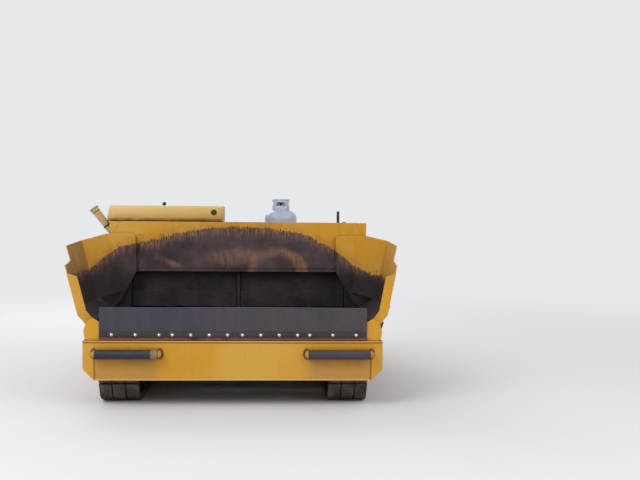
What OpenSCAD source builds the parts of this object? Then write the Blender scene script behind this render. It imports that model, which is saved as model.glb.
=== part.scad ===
// Small tracked asphalt paver, about 8 feet wide.
// +X is to the right seen from the front, +Y points to the rear and +Z is up.
// The origin is on the ground, under the middle of the whole machine.

/* [Bumper and push rollers] */
// Width of the machine: of its bumper, its rear wall, its body and its main screed
machine_w = 2440; // [2400:10:2480]
// Height of the bumper's lower edge above the ground
bumper_low = 222; // [200:2:250]
// Height of the bumper's upper edge above the ground
bumper_high = 543; // [530:1:546]
// Depth of the bumper from its face to its rear edges
bumper_depth = 110; // [90:5:115]
// Plate thickness of the bumper
bumper_plate = 10; // [6:1:12]
// Width of the swept end at each side of the bumper
bumper_end_w = 95; // [70:5:110]
// Height of the cut-off lower corner
bumper_corner_h = 90; // [60:5:120]
// Push roller diameter
roller_d = 76; // [60:2:100]
// Push roller length
roller_len = 500; // [400:10:560]
// Middle of each push roller from the machine's centre line
roller_x = 860; // [800:5:880]
// Height of the push roller axis
roller_z = 440; // [400:5:460]
// Gap between the roller and the bumper's face
roller_gap = 14; // [8:1:20]
// Diameter of the roller pin
roller_pin_d = 24; // [16:1:30]

/* [Hopper] */
// Hopper length from the wings' front edges to the rear wall
hopper_len = 1180; // [1120:10:1240]
// Height of the rear wall's top edge
wall_top = 1499; // [1480:1:1520]
// Height of the rear wall's lower edge, over the recess of the gates
wall_low = 1034; // [1020:1:1050]
// Width of the recess under the rear wall
recess_w = 2000; // [1960:10:2040]
// Depth of the recess under the rear wall
recess_depth = 142; // [130:2:160]
// Sheet thickness of the hopper and its walls
sheet = 8; // [6:1:10]
// Radius of the bites in the rear wall's upper corners
corner_bite = 130; // [110:5:150]
// Turned flange along the rear wall's top edge
top_flange = 26; // [20:1:32]
// Height of the rubber flap over the bumper
flap_high = 820; // [780:5:840]
// Gap between the rubber flap's end and the wing hinge
flap_gap = 62; // [60:1:80]
// Thickness of the rubber flap
flap_t = 10; // [8:1:14]
// Height of the bolt row of the flap's bars
bolt_z = 592; // [585:1:600]

/* [Hopper wings] */
// Wing hinge inside the machine's side
hinge_inset = 70; // [65:1:75]
// Height of the wing hinge
hinge_z = 690; // [680:2:700]
// Wing sheet thickness
wing_t = 8; // [6:1:10]
// Lean of the wing's side, from upright
wing_lean = 12.7; // [10:0.1:14]
// Extra lean of the left wing and less lean of the right one
wing_offset = 2; // [0:0.5:3]
// Width of the lip on the wing's front edge
lip_w = 76; // [70:2:90]
// Height of the side's front edge over the hinge
wing_front_h = 466; // [440:2:490]
// Height of the wing's top over the hinge, at its front
wing_top_h = 620; // [600:2:640]
// Height of the wing's rear plate over the hinge
wing_back_h = 695; // [680:1:700]
// How far the side's upper front edge is cut back
wing_cut = 260; // [200:10:320]
// Inner edge of the wing's rear plate from the centre line
wing_back_x = 930; // [900:5:960]

/* [Frame and bay] */
// Outer width of the main frame
frame_w = 1400; // [1360:5:1420]
// Frame plate thickness
frame_t = 12; // [8:1:14]
// Engine bay length behind the rear wall
bay_len = 740; // [700:10:780]
// Height of the engine bay's floor
bay_z = 950; // [940:2:970]
// The upper body's side inside the rear wall's edge
body_inset = 5; // [0:1:10]
// The lower body's side inside the machine's side, where the screed's arms pass
waist_inset = 105; // [103:1:110]
// Height of the oil tank's top beside the engine
tank_top = 1250; // [1220:5:1280]
// Right edge of the engine bay from the centre line, to the left
cowl_edge = 160; // [140:5:180]
// Height of the engine hood
hood_h = 142; // [130:2:150]
// Sheet thickness of hood and cowl
cowl_t = 6; // [4:1:8]
// Width of the engine across the machine
engine_w = 560; // [500:10:600]
// Height of the engine over the bay's floor
engine_h = 510; // [460:10:520]
// Height of the radiator over the bay's floor
radiator_h = 490; // [440:10:510]
// Thickness of the radiator
radiator_t = 60; // [50:5:80]
// Operator's deck length
deck_len = 860; // [840:5:880]
// Height of the operator's deck
deck_z = 765; // [750:5:780]
// Width of each console
console_w = 420; // [380:10:440]
// Each console's outer side inside the lower body's side
console_inset = 175; // [165:5:185]
// Height of the consoles over the deck, at their front
console_h = 625; // [580:5:640]
// Height of the seat cushions' undersides over the deck
seat_h = 350; // [320:5:360]
// Width of the seat cushions
seat_w = 430; // [400:10:440]
// Depth of the seat cushions
seat_depth = 410; // [390:5:415]
// Height of the backrests' cushions
seat_back_h = 227; // [200:1:240]
// Each seat's outer side inside the lower body's side
seat_inset = 140; // [130:5:150]
// Middle of the seat cushions before the deck's rear edge
seat_forward = 340; // [330:5:345]
// Height of the handrails over the deck
rail_h = 665; // [620:5:680]

/* [Gas bottle and filler neck] */
// Gas bottle diameter
bottle_d = 305; // [290:1:310]
// Gas bottle height with its collar
bottle_h = 457; // [450:1:465]
// Gas bottle from the centre line
bottle_x = 397; // [380:1:420]
// Filler neck diameter
neck_d = 70; // [50:2:80]
// Filler neck length
neck_len = 235; // [200:5:250]

/* [Tracks] */
// Track width
track_w = 322; // [300:2:324]
// The track's outer face inside the lower body's side
track_inset = 9; // [8:1:11]
// Height of a track at its wheels
track_h = 470; // [460:2:480]
// Distance between idler and sprocket axes
wheelbase = 1780; // [1760:10:1800]
// Idler axis behind the bumper's face
idler_back = 350; // [340:5:370]
// Thickness of a track's pads
pad_t = 30; // [24:1:34]
// Thickness of a track's belt of shoes
belt_t = 28; // [22:1:32]
// Number of pads on a track
pads = 36; // [34:1:38]
// Gap between two pads
pad_gap = 14; // [10:1:18]

/* [Conveyors and augers] */
// Diameter of the conveyor wheels at the chain's middle
conveyor_d = 190; // [180:2:196]
// Number of slats on a conveyor
slats = 26; // [22:1:28]
// Auger diameter
auger_d = 230; // [200:5:240]
// Auger shaft diameter
auger_shaft_d = 60; // [50:2:70]
// Height of the auger's axis
auger_z = 240; // [230:5:260]
// Auger length on each side
auger_len = 1010; // [980:5:1015]
// Turns of the flight on each auger
auger_turns = 4.5; // [3.5:0.5:5]
// Deck's rear edge to the auger's axis
auger_reach = 120; // [118:1:135]

/* [Screed] */
// Auger's axis to the screed's front plate
screed_reach = 170; // [160:5:190]
// Depth of the main screed
screed_depth = 400; // [380:5:420]
// Height of the sole plate above the ground, as carried
screed_lift = 90; // [70:5:110]
// Height of the screed's body over its sole
screed_h = 300; // [280:5:310]
// Depth of each extension behind the main screed
extension_depth = 240; // [220:5:250]
// How far each extension slides out
extension_travel = 700; // [500:10:720]
// Tow pin behind the rear wall
tow_back = 420; // [400:10:440]
// Height of the tow pin
tow_z = 450; // [440:2:460]
// Tow pin diameter
tow_pin_d = 50; // [40:2:54]
// Thickness of the screed's arms
arm_t = 44; // [40:2:44]
// Height of the cranks of the depth screws
crank_z = 1470; // [1300:10:1500]
// Length of a crank's grip
grip_len = 150; // [120:5:160]

/* [Hidden] */
$fn = 64;

YELLOW = [0.80, 0.52, 0.10];
DARK = [0.13, 0.12, 0.13];
STEEL = [0.42, 0.40, 0.39];

// Widths that follow the machine's
bumper_w = machine_w;
wall_w = machine_w;
screed_w = machine_w;
body_w = machine_w - 2 * body_inset;
waist_w = machine_w - 2 * waist_inset;
hinge_x = machine_w / 2 - hinge_inset;
flap_w = 2 * (hinge_x - flap_gap);
track_x = waist_w / 2 - track_inset - track_w / 2;

// Clearances
touch = 0.3;
pin_play = 0.5;
clear = 6;

// Places along the machine, from the front rollers to the walkway
wing_set = 60;
screed_gap = 20;
overall_len = roller_d + roller_gap + wing_set + hopper_len + bay_len + deck_len + auger_reach
    + screed_reach + screed_depth + screed_gap + extension_depth;
front_y = -overall_len / 2;
bumper_y = front_y + roller_d + roller_gap;
roller_y = front_y + roller_d / 2;
wing_y = bumper_y + wing_set;
wall_y = wing_y + hopper_len;
bay_end = wall_y + bay_len;
deck_end = bay_end + deck_len;
auger_y = deck_end + auger_reach;
screed_y = auger_y + screed_reach;
screed_end = screed_y + screed_depth;
rear_y = screed_end + screed_gap + extension_depth;
tow_y = wall_y + tow_back;
bulkhead_y = wall_y + recess_depth;
gate_y = bulkhead_y - 30;
bay_y = bulkhead_y + 2 * sheet;
shelf_y = wall_y + sheet + 24;

// Track loop
track_r = track_h / 2;
idler_y = bumper_y + idler_back;
sprocket_y = idler_y + wheelbase;
belt_in_r = track_r - pad_t - belt_t;
belt_out_r = track_r - pad_t;

// Conveyor loop
frame_in = frame_w / 2 - frame_t;
beam_w = 30;
conveyor_r = conveyor_d / 2;
conveyor_z = 490;
chain_t = 20;
conveyor_top = conveyor_z + conveyor_r;
pan_top = conveyor_top - chain_t / 2 - touch;
conveyor_front = bumper_y + 300;
conveyor_rear = deck_end - 150;
slat_t = 14;
slat_w = 40;
chain_w = 26;
conveyor_play = 20;
pan_t = 8;
floor_z = 570;
floor_rise = 72;
sill_in = hinge_x - 55;
sill_out = hinge_x + 55;
sill_low = 545;
sill_top = floor_z + floor_rise;

// Cylinders: where each is pinned, in the plane that it swings in
wing_base = [hinge_x + 15, 330];
wing_lug = [178, 72];
wing_cylinder_y = wing_y + 560;
lift_base = [deck_end - 130, 1150];
lift_lug = [deck_end - 60, 540];
lift_x = waist_w / 2 + 20 + arm_t / 2;
cylinder_pin_r = 10;
eye_r = 30;
eye_bore = 18;

function rotated(p, a) = [p[0] * cos(a) - p[1] * sin(a), p[0] * sin(a) + p[1] * cos(a)];
function direction(a, b) = atan2(b[1] - a[1], b[0] - a[0]);

// Point at a length s along a loop round two wheels, at a distance r from the wheels' centre line
function loop_point(s, r, pitch_r, y0, y1, zc) =
    let (run = y1 - y0, arc = PI * pitch_r)
    s < run ? [y0 + s, zc - r]
    : s < run + arc ? let (a = (s - run) / pitch_r * 180 / PI) [y1 + r * sin(a), zc - r * cos(a)]
    : s < 2 * run + arc ? [y1 - (s - run - arc), zc + r]
    : let (a = (s - 2 * run - arc) / pitch_r * 180 / PI) [y0 - r * sin(a), zc + r * cos(a)];
function loop_angle(s, pitch_r, run) =
    let (arc = PI * pitch_r)
    s < run ? 180
    : s < run + arc ? 180 + (s - run) / pitch_r * 180 / PI
    : s < 2 * run + arc ? 0
    : (s - 2 * run - arc) / pitch_r * 180 / PI;

module both() {
    children();
    mirror([1, 0, 0]) children();
}
module side(right) {
    if (right) children();
    else mirror([1, 0, 0]) children();
}
// A box from its lowest to its highest corner
module block(a, b) {
    translate(a) cube(b - a);
}
// A flat shape drawn in Y and Z, made thick from x0 to x1
module across(x0, x1) {
    translate([x0, 0, 0]) rotate([90, 0, 90]) linear_extrude(x1 - x0) children();
}
// A flat shape drawn in X and Z, made thick from y0 to y1
module along(y0, y1) {
    translate([0, y1, 0]) rotate([90, 0, 0]) linear_extrude(y1 - y0) children();
}
module bar_x(x0, x1, y, z, r) {
    translate([x0, y, z]) rotate([0, 90, 0]) cylinder(h = x1 - x0, r = r);
}
module bar_y(x, y0, y1, z, r) {
    translate([x, y0, z]) rotate([-90, 0, 0]) cylinder(h = y1 - y0, r = r);
}
module stadium(y0, y1, zc, r) {
    translate([y0, zc]) circle(r);
    translate([y1, zc]) circle(r);
    translate([y0, zc - r]) square([y1 - y0, 2 * r]);
}

// Bumper and push rollers
roller_ear_t = 16;
roller_ear_r = 27;
roller_head_t = 12;
module bumper_plan(inset) {
    half = bumper_w / 2 - inset;
    flat = bumper_w / 2 - bumper_end_w;
    sweep = 22;
    polygon([
        [-half, bumper_y + bumper_depth], [-half, bumper_y + sweep + inset],
        [-flat, bumper_y + inset], [flat, bumper_y + inset],
        [half, bumper_y + sweep + inset], [half, bumper_y + bumper_depth]
    ]);
}
module roller_mount(x) {
    for (s = [-1, 1])
        translate([x + s * (roller_len / 2 + roller_ear_t / 2 + 2), 0, 0])
            across(-roller_ear_t / 2, roller_ear_t / 2) {
                translate([roller_y, roller_z]) circle(roller_ear_r);
                translate([roller_y, roller_z - roller_ear_r])
                    square([bumper_y - roller_y + 1, 2 * roller_ear_r]);
            }
    reach = roller_len / 2 + 2 + roller_ear_t;
    bar_x(x - reach, x + reach, roller_y, roller_z, roller_pin_d / 2);
    for (x0 = [x - reach - roller_head_t, x + reach])
        bar_x(x0, x0 + roller_head_t, roller_y, roller_z, roller_pin_d / 2 + 8);
}
module front_bumper() {
    color(YELLOW) {
        difference() {
            translate([0, 0, bumper_low]) linear_extrude(bumper_high - bumper_low) bumper_plan(0);
            translate([0, 1, bumper_low + bumper_plate])
                linear_extrude(bumper_high - bumper_low - 2 * bumper_plate)
                bumper_plan(bumper_plate);
            along(bumper_y - 1, bumper_y + bumper_depth + 1)
                for (s = [-1, 1])
                    polygon([
                        [s * (bumper_w / 2 - bumper_end_w), bumper_low - 1],
                        [s * (bumper_w / 2 - bumper_end_w), bumper_low],
                        [s * (bumper_w / 2 + 1), bumper_low + bumper_corner_h],
                        [s * (bumper_w / 2 + 1), bumper_low - 1]
                    ]);
        }
        for (x = [-roller_x, roller_x]) roller_mount(x);
        // Rear stiffener that bolts to the frame
        block([-frame_w / 2, bumper_y + bumper_depth - bumper_plate, bumper_low + bumper_plate],
            [frame_w / 2, bumper_y + bumper_depth, bumper_high - bumper_plate]);
    }
}
module push_roller(x) {
    color(DARK) difference() {
        bar_x(x - roller_len / 2, x + roller_len / 2, roller_y, roller_z, roller_d / 2);
        bar_x(x - roller_len, x + roller_len, roller_y, roller_z, roller_pin_d / 2 + pin_play);
    }
}

// Main frame: side plates, centre beam, conveyor pans and cross members
frame_low = 240;
waist_low = 560;
axle_beam = 100;
axle_z = 240;
beam_end = 105;
tie_y = deck_end - 150;
tie_z = 320;
tie_r = 17;
tie_boss = [38, 14];
module main_frame() {
    y0 = bumper_y + bumper_depth;
    color(YELLOW) {
        // Side plates, each with a tie-down eye in a boss near its rear end
        both() difference() {
            union() {
                across(frame_in, frame_w / 2) polygon([
                    [y0, frame_low + 60], [y0 + 80, frame_low], [deck_end - 200, frame_low],
                    [deck_end - 20, frame_low + 110], [deck_end - 20, deck_z - sheet],
                    [bay_end, deck_z - sheet], [bay_end, bay_z - sheet],
                    [bulkhead_y + sheet, bay_z - sheet], [bulkhead_y + sheet, floor_z],
                    [y0, floor_z - 24]
                ]);
                bar_x(frame_in, frame_w / 2 + tie_boss[1], tie_y, tie_z, tie_boss[0]);
            }
            bar_x(frame_in - 1, frame_w / 2 + tie_boss[1] + 1, tie_y, tie_z, tie_r);
        }
        across(-beam_w / 2, beam_w / 2) polygon([
            [y0, 380], [deck_end - 20, 380], [deck_end - 20, deck_z - sheet],
            [bay_end, deck_z - sheet], [bay_end, bay_z - sheet], [bulkhead_y + sheet, bay_z - sheet],
            [bulkhead_y + sheet, floor_z], [y0, floor_z - 24]
        ]);
        block([-frame_in, y0, 300], [frame_in, y0 + frame_t, floor_z - 24]);
        for (x0 = [-frame_in, beam_w / 2])
            block([x0, conveyor_front + 60, pan_top - pan_t],
                [x0 + frame_in - beam_w / 2, conveyor_rear - 60, pan_top]);
        for (y = [idler_y + 420, sprocket_y - 380])
            block([-track_x + beam_end, y - axle_beam / 2, axle_z],
                [track_x - beam_end, y + axle_beam / 2, axle_z + axle_beam]);
        // Rear cross member under the deck, which carries the auger drive
        block([-frame_w / 2, deck_end - 20, deck_z - sheet - 90],
            [frame_w / 2, deck_end, deck_z - sheet]);
        // Tow brackets outside the tracks, hung from the waist
        both() {
            across(waist_w / 2 - 2, waist_w / 2 + 14) {
                translate([tow_y, tow_z]) circle(60);
                translate([tow_y - 60, tow_z]) square([120, 560 - tow_z]);
            }
            bar_x(waist_w / 2 + 14, waist_w / 2 + 20 + arm_t + 12, tow_y, tow_z, tow_pin_d / 2);
        }
        // Waist boxes over the tracks, beside the tunnels
        both() difference() {
            block([frame_w / 2, bulkhead_y + sheet, waist_low],
                [waist_w / 2, bay_end, bay_z - sheet]);
            block([frame_w / 2 - 1, bulkhead_y + 2 * sheet, waist_low + sheet],
                [waist_w / 2 - sheet, bay_end - sheet, bay_z]);
        }
    }
}

// Recess roof, bulkhead with the two tunnel mouths, and the bay's floor
tunnel_top = 930;
guide_w = 16;
gate_plate = 10;
recess_floor = floor_z + floor_rise * (recess_w - frame_w) / 2 / (sill_in - frame_w / 2);
module tunnel_housing() {
    color(DARK) difference() {
        union() {
            block([-recess_w / 2, bulkhead_y, floor_z],
                [recess_w / 2, bulkhead_y + sheet, wall_low + sheet]);
            both() along(wall_y, bulkhead_y + 1) polygon([
                [frame_w / 2, floor_z - 8], [recess_w / 2, recess_floor - 8],
                [recess_w / 2 + sheet, recess_floor - 8], [recess_w / 2 + sheet, recess_floor],
                [recess_w / 2, recess_floor], [frame_w / 2, floor_z]
            ]);
            block([-recess_w / 2, wall_y + sheet, wall_low],
                [recess_w / 2, gate_y - clear - 4, wall_low + sheet]);
            both() block([recess_w / 2, wall_y + sheet, recess_floor - 8],
                [recess_w / 2 + sheet, bulkhead_y + sheet, wall_low + sheet]);
            block([-body_w / 2, bulkhead_y, bay_z - sheet], [body_w / 2, bay_end, bay_z]);
            // Guides that each gate slides on: a post between the gates and a strip at each side
            block([-beam_w / 2, gate_y - 46, floor_z], [beam_w / 2, bulkhead_y + 1, wall_low]);
            block([-beam_w / 2 - guide_w, gate_y + gate_plate + pin_play, pan_top + touch],
                [beam_w / 2 + guide_w, bulkhead_y + 1, wall_low]);
            both() block([recess_w / 2 - 3 * guide_w, gate_y + gate_plate + pin_play, recess_floor],
                [recess_w / 2 + 1, bulkhead_y + 1, wall_low]);
        }
        both() block([beam_w / 2 + 5, bulkhead_y - 1, floor_z - 1],
            [frame_in - 5, bulkhead_y + sheet + 1, tunnel_top]);
        // Foot of the bulkhead, cut for the conveyor pans
        both() block([beam_w / 2, bulkhead_y - 1, floor_z - 1],
            [frame_w / 2 + 1, bulkhead_y + sheet + 1, pan_top + touch]);
    }
}

// Fixed hopper bottom: sloped floors, sills, hinge lugs and the front hinge covers
lug_t = 30;
lug_gap = clear;
hinge_r = 26;
hinge_pin_r = 12;
lug_places = [0.03, 0.35, 0.67, 0.94];
module hinge_lug(y) {
    along(y, y + lug_t) {
        translate([hinge_x, hinge_z]) circle(hinge_r);
        translate([hinge_x - hinge_r, sill_top - 2]) square([2 * hinge_r, hinge_z - sill_top + 2]);
    }
}
cover_t = 12;
module hopper_floor() {
    color(YELLOW) both() {
        difference() {
            along(wing_y - 20, wall_y) polygon([
                [frame_w / 2, floor_z - 24], [sill_in, floor_z + floor_rise - 34],
                [sill_in, sill_low], [sill_out, sill_low], [sill_out, sill_top],
                [sill_in, sill_top], [frame_w / 2, floor_z]
            ]);
            // Notch that the wing's cylinder swings into as the wing folds
            block([hinge_x - 20, wing_cylinder_y - barrel_r - clear, sill_low - 1],
                [sill_out + 1, wing_cylinder_y + barrel_r + clear, sill_top + 1]);
        }
        for (p = lug_places) hinge_lug(wing_y + p * (hopper_len - 60));
        bar_y(hinge_x, wing_y - 20 - cover_t / 2, wall_y - 40, hinge_z, hinge_pin_r);
        // House-shaped cover over the front end of the hinge
        along(wing_y - 20 - cover_t, wing_y - 20) polygon([
            [sill_in - 18, bumper_high], [sill_in - 18, hinge_z], [hinge_x - 6, hinge_z + 38],
            [hinge_x + 42, hinge_z + 10], [body_w / 2, hinge_z - 68],
            [body_w / 2 - 7, hinge_z - 124], [body_w / 2 - 25, bumper_high]
        ]);
        // Base of the wing cylinder, hung from the sill
        for (s = [-1, 1])
            along(wing_cylinder_y + s * 38 - 6, wing_cylinder_y + s * 38 + 6) {
                translate(wing_base) circle(26);
                translate([wing_base[0] - 26, wing_base[1]])
                    square([52, sill_low - wing_base[1]]);
            }
        bar_y(wing_base[0], wing_cylinder_y - 48, wing_cylinder_y + 48, wing_base[1],
            cylinder_pin_r);
    }
    // Upright strip behind the rubber flap
    color(YELLOW) block([-sill_in + 20, wing_y - 20 - cover_t, bumper_high],
        [sill_in - 20, wing_y - 20, 615]);
    color(YELLOW) block([-frame_w / 2, wing_y - 20, bumper_high],
        [frame_w / 2, wing_y + 4, floor_z - 4]);
}

// Rear wall of the hopper
module rear_wall() {
    color(YELLOW) {
        along(wall_y, wall_y + sheet) difference() {
            translate([-wall_w / 2, sill_top]) square([wall_w, wall_top - sill_top]);
            translate([-recess_w / 2, sill_top - 1]) square([recess_w, wall_low - sill_top + 1]);
            for (s = [-1, 1]) translate([s * (wall_w / 2 + 20), wall_top]) circle(corner_bite);
        }
        block([-wall_w / 2 + corner_bite, wall_y, wall_top - sheet],
            [wall_w / 2 - corner_bite, wall_y + top_flange, wall_top]);
        // Lower lip over the recess
        block([-recess_w / 2, wall_y, wall_low],
            [recess_w / 2, wall_y + sheet, wall_low + 30]);
        // Plates behind the bites in the upper corners
        both() block([wall_w / 2 - corner_bite - 30, wall_y + sheet - 1, wall_top - corner_bite - 30],
            [wall_w / 2 - 20, wall_y + 2 * sheet, wall_top - 1]);
        // Outer posts that carry the wall on the waist
        both() block([recess_w / 2 + sheet, wall_y + sheet, sill_top],
            [waist_w / 2 - 40, wall_y + 3 * sheet, bay_z - sheet]);
    }
}

// Rubber flap over the bumper, with its bolted bars
flap_y = wing_y - 20 - cover_t - flap_t - touch;
// Each bar: its first bolt's place across the machine, its number of bolts and their pitch
bolt_sets = [[-987, 3, 191], [-498, 4, 149], [69, 4, 150], [618, 3, 190]];
module apron_flap() {
    color(DARK) block([-flap_w / 2, flap_y, bumper_high + 5],
        [flap_w / 2, flap_y + flap_t, flap_high]);
}
bar_t = 6;
bar_h = 40;
module flap_bars() {
    color(STEEL) for (set = bolt_sets) {
        end = set[0] + (set[1] - 1) * set[2];
        block([set[0] - 34, flap_y - bar_t, bolt_z - bar_h / 2],
            [end + 34, flap_y, bolt_z + bar_h / 2]);
        for (i = [0 : set[1] - 1])
            translate([set[0] + i * set[2], flap_y - bar_t, bolt_z]) rotate([90, 0, 0])
                cylinder(h = 8, r1 = 12, r2 = 8, $fn = 24);
    }
}

// Slat conveyor: two chains, slats and end shafts as one fixed loop
module conveyor() {
    x0 = beam_w / 2;
    x1 = frame_in;
    in0 = x0 + conveyor_play;
    in1 = x1 - conveyor_play;
    run = conveyor_rear - conveyor_front;
    total = 2 * run + 2 * PI * conveyor_r;
    color(DARK) {
        for (x = [in0, in1 - chain_w])
            across(x, x + chain_w) difference() {
                stadium(conveyor_front, conveyor_rear, conveyor_z, conveyor_r + chain_t / 2);
                stadium(conveyor_front, conveyor_rear, conveyor_z, conveyor_r - chain_t / 2);
            }
        for (i = [0 : slats - 1]) {
            s = (i + 0.5) * total / slats;
            p = loop_point(s, conveyor_r + chain_t / 2, conveyor_r, conveyor_front,
                conveyor_rear, conveyor_z);
            translate([in0, p[0], p[1]]) rotate([-loop_angle(s, conveyor_r, run), 0, 0])
                translate([0, -slat_w / 2, -4]) cube([in1 - in0, slat_w, slat_t + 4]);
        }
        for (y = [conveyor_front, conveyor_rear]) {
            bar_x(x0, x1, y, conveyor_z, 25);
            for (x = [in0, in1 - chain_w])
                bar_x(x, x + chain_w, y, conveyor_z, conveyor_r - chain_t / 2 + 1);
        }
    }
}

// Flow gate: a plate with a channel along its lower edge, in the recess
gate_low = 702;
gate_h = 320;
gate_rib = 145;
module gate() {
    color(DARK) {
        block([beam_w / 2 + clear, gate_y, gate_low],
            [recess_w / 2 - clear, gate_y + gate_plate, gate_low + gate_h]);
        difference() {
            block([beam_w / 2 + clear, gate_y - 40, gate_low],
                [recess_w / 2 - clear, gate_y, gate_low + gate_rib]);
            block([beam_w / 2 + clear - 1, gate_y - 32, gate_low + 8],
                [recess_w / 2 - clear + 1, gate_y + 1, gate_low + gate_rib - 8]);
        }
    }
}

// Engine, radiator and cowl
engine_x = -body_w / 2 + 255;
module engine_block() {
    color(STEEL) block([engine_x, bay_y + 60, bay_z],
        [engine_x + engine_w, bay_end - 90, bay_z + engine_h]);
}
module radiator() {
    x = -body_w / 2 + cowl_t + 30;
    color(DARK) {
        block([x, bay_y + 60, bay_z], [x + radiator_t, bay_end - 60, bay_z + radiator_h]);
        // Fan shroud
        bar_x(x + radiator_t, x + radiator_t + 36, (bay_y + bay_end) / 2, bay_z + radiator_h / 2,
            190);
    }
}
slot_h = 16;
slot_pitch = 38;
module engine_cowl() {
    x0 = -body_w / 2;
    x1 = -cowl_edge;
    z1 = wall_top - 2;
    color(YELLOW) difference() {
        union() {
            block([x0, bay_y, bay_z], [x0 + cowl_t, bay_end, z1]);
            block([x0, bay_end - cowl_t, bay_z], [x1, bay_end, z1]);
            block([x1 - cowl_t, bay_y, bay_z], [x1, bay_end, z1]);
            block([x0, bay_y, bay_z], [x1, bay_y + cowl_t, z1]);
            block([x0, shelf_y, z1 - cowl_t], [x1, bay_y + 30, z1]);
            // Turned edge round the opening under the hood, and the pin of its hinge
            for (x = [hood_x0 + 130, hood_x0 + 244, hood_x1 - 230, hood_x1 - 116])
                across(x, x + 26) {
                    translate(hinge_hood) circle(11);
                    polygon([
                        [bay_end - 1, wall_top - 60], [bay_end, wall_top - 60],
                        hinge_hood + [11, -4], hinge_hood + [-14, 0], [bay_end - 1, wall_top - 4]
                    ]);
                }
            for (x = [hood_x0 + 130, hood_x1 - 230])
                bar_x(x, x + 140, hinge_hood[0], hinge_hood[1], 5);
            block([x0, bay_end - 30, z1 - cowl_t], [x1, bay_end, z1]);
            block([x1 - 30, bay_y, z1 - cowl_t], [x1, bay_end, z1]);
        }
        // Louvre slots in the side and rear panels
        for (i = [0 : 9]) {
            block([x0 - 1, bay_y + 90, bay_z + 90 + i * slot_pitch],
                [x0 + cowl_t + 1, bay_end - 140, bay_z + 90 + i * slot_pitch + slot_h]);
            for (x = [x0 + 160, x0 + 580])
                block([x, bay_end - cowl_t - 1, bay_z + 90 + i * slot_pitch],
                    [x + 330, bay_end + 1, bay_z + 90 + i * slot_pitch + slot_h]);
        }
    }
}
hood_gap = 6;
hood_front = wall_y + 68;
hood_x0 = -body_w / 2 - 24;
hood_x1 = -cowl_edge + 2;
hood_slope = 30;
hood_z = wall_top + hood_gap;
hinge_hood = [bay_end + 18, wall_top];
module hood_outline(inset) {
    polygon([
        [hood_x0 + inset, hood_z - 1], [hood_x0 + hood_slope + inset, hood_z + hood_h - inset],
        [hood_x1 - inset, hood_z + hood_h - inset], [hood_x1 - inset, hood_z - 1]
    ]);
}
module engine_hood() {
    color(YELLOW) {
        difference() {
            along(hood_front, bay_end + 4) hood_outline(0);
            along(hood_front + cowl_t, bay_end + 4 - cowl_t) hood_outline(cowl_t);
            block([hood_x0 - 1, hood_front - 1, hood_z - 2], [hood_x1 + 1, bay_end + 5, hood_z]);
        }
        // Hinge tubes on the rear edge
        for (x = [hood_x0 + 160, hood_x1 - 200])
            difference() {
                union() {
                    bar_x(x, x + 80, hinge_hood[0], hinge_hood[1], 10);
                    block([x, bay_end + 3, hood_z + 2], [x + 80, bay_end + 28, hood_z + 10]);
                    block([x, hinge_hood[0] - 4, hinge_hood[1]],
                        [x + 80, bay_end + 28, hood_z + 10]);
                }
                bar_x(x - 1, x + 81, hinge_hood[0], hinge_hood[1], 5 + pin_play);
            }
    }
    // Round latch on the front face
    color(DARK) translate([hood_x1 - 80, hood_front, hood_z + 82]) rotate([90, 0, 0])
        cylinder(h = 10, r = 28);
}

// Filler neck on the left of the bay, and the oil tank with the gas bottle on the right
neck_root = [-body_w / 2, bay_y + 80, wall_top - 101];
module filler_neck() {
    color(YELLOW) translate(neck_root) rotate([0, -38, 0]) difference() {
        union() {
            translate([0, 0, 8]) cylinder(h = neck_len, r = neck_d / 2);
            translate([0, 0, neck_len]) cylinder(h = 30, r = neck_d / 2 + 5);
        }
        rotate([0, 38, 0]) block([0, -90, -120], [160, 90, 160]);
    }
    color(YELLOW) block([neck_root[0] - 10, neck_root[1] - 60, neck_root[2] - 70],
        [neck_root[0], neck_root[1] + 60, neck_root[2] + 70]);
}
oil_x0 = 170;
module oil_tank() {
    color(YELLOW) difference() {
        block([oil_x0, bay_y, bay_z], [body_w / 2, bay_end, tank_top]);
        block([oil_x0 + cowl_t, bay_y + cowl_t, bay_z + cowl_t],
            [body_w / 2 - cowl_t, bay_end - cowl_t, tank_top - cowl_t]);
    }
    color(YELLOW) block([oil_x0, wall_y + sheet, tank_top - cowl_t],
        [body_w / 2 - 60, bay_y + 1, tank_top]);
}
bottle_y = wall_y + 235;
foot_h = 22;
module gas_bottle() {
    r = bottle_d / 2;
    knuckle = 70;
    collar_h = 100;
    body_h = bottle_h - collar_h;
    color("gainsboro") translate([bottle_x, bottle_y, tank_top + sheet]) {
        translate([0, 0, foot_h]) rotate_extrude() union() {
            translate([0, 0]) square([r - knuckle, body_h - foot_h]);
            translate([0, knuckle]) square([r, body_h - foot_h - 2 * knuckle]);
            intersection() {
                translate([r - knuckle, knuckle]) circle(knuckle);
                translate([0, 0]) square([r, body_h]);
            }
            intersection() {
                translate([r - knuckle, body_h - foot_h - knuckle]) circle(knuckle);
                translate([0, 0]) square([r, body_h]);
            }
        }
        difference() {
            cylinder(h = foot_h + 30, r = r - 45);
            translate([0, 0, -1]) cylinder(h = foot_h + 40, r = r - 49);
        }
        // Guard collar, open at the front for the valve
        difference() {
            translate([0, 0, body_h - 8]) cylinder(h = collar_h + 8, r = 82);
            translate([0, 0, body_h - 9]) cylinder(h = collar_h + 10, r = 78);
            translate([-34, -100, body_h + 26]) cube([68, 80, 50]);
        }
        translate([0, 0, body_h - 4]) cylinder(h = 62, r = 15);
        translate([0, 0, body_h + 58]) cylinder(h = 14, r = 28);
    }
    // Ring tray that the bottle stands in
    color(YELLOW) translate([bottle_x, bottle_y, tank_top]) {
        difference() {
            cylinder(h = 40, r = r + 12);
            translate([0, 0, sheet]) cylinder(h = 40, r = r + 6);
        }
    }
}

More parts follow.
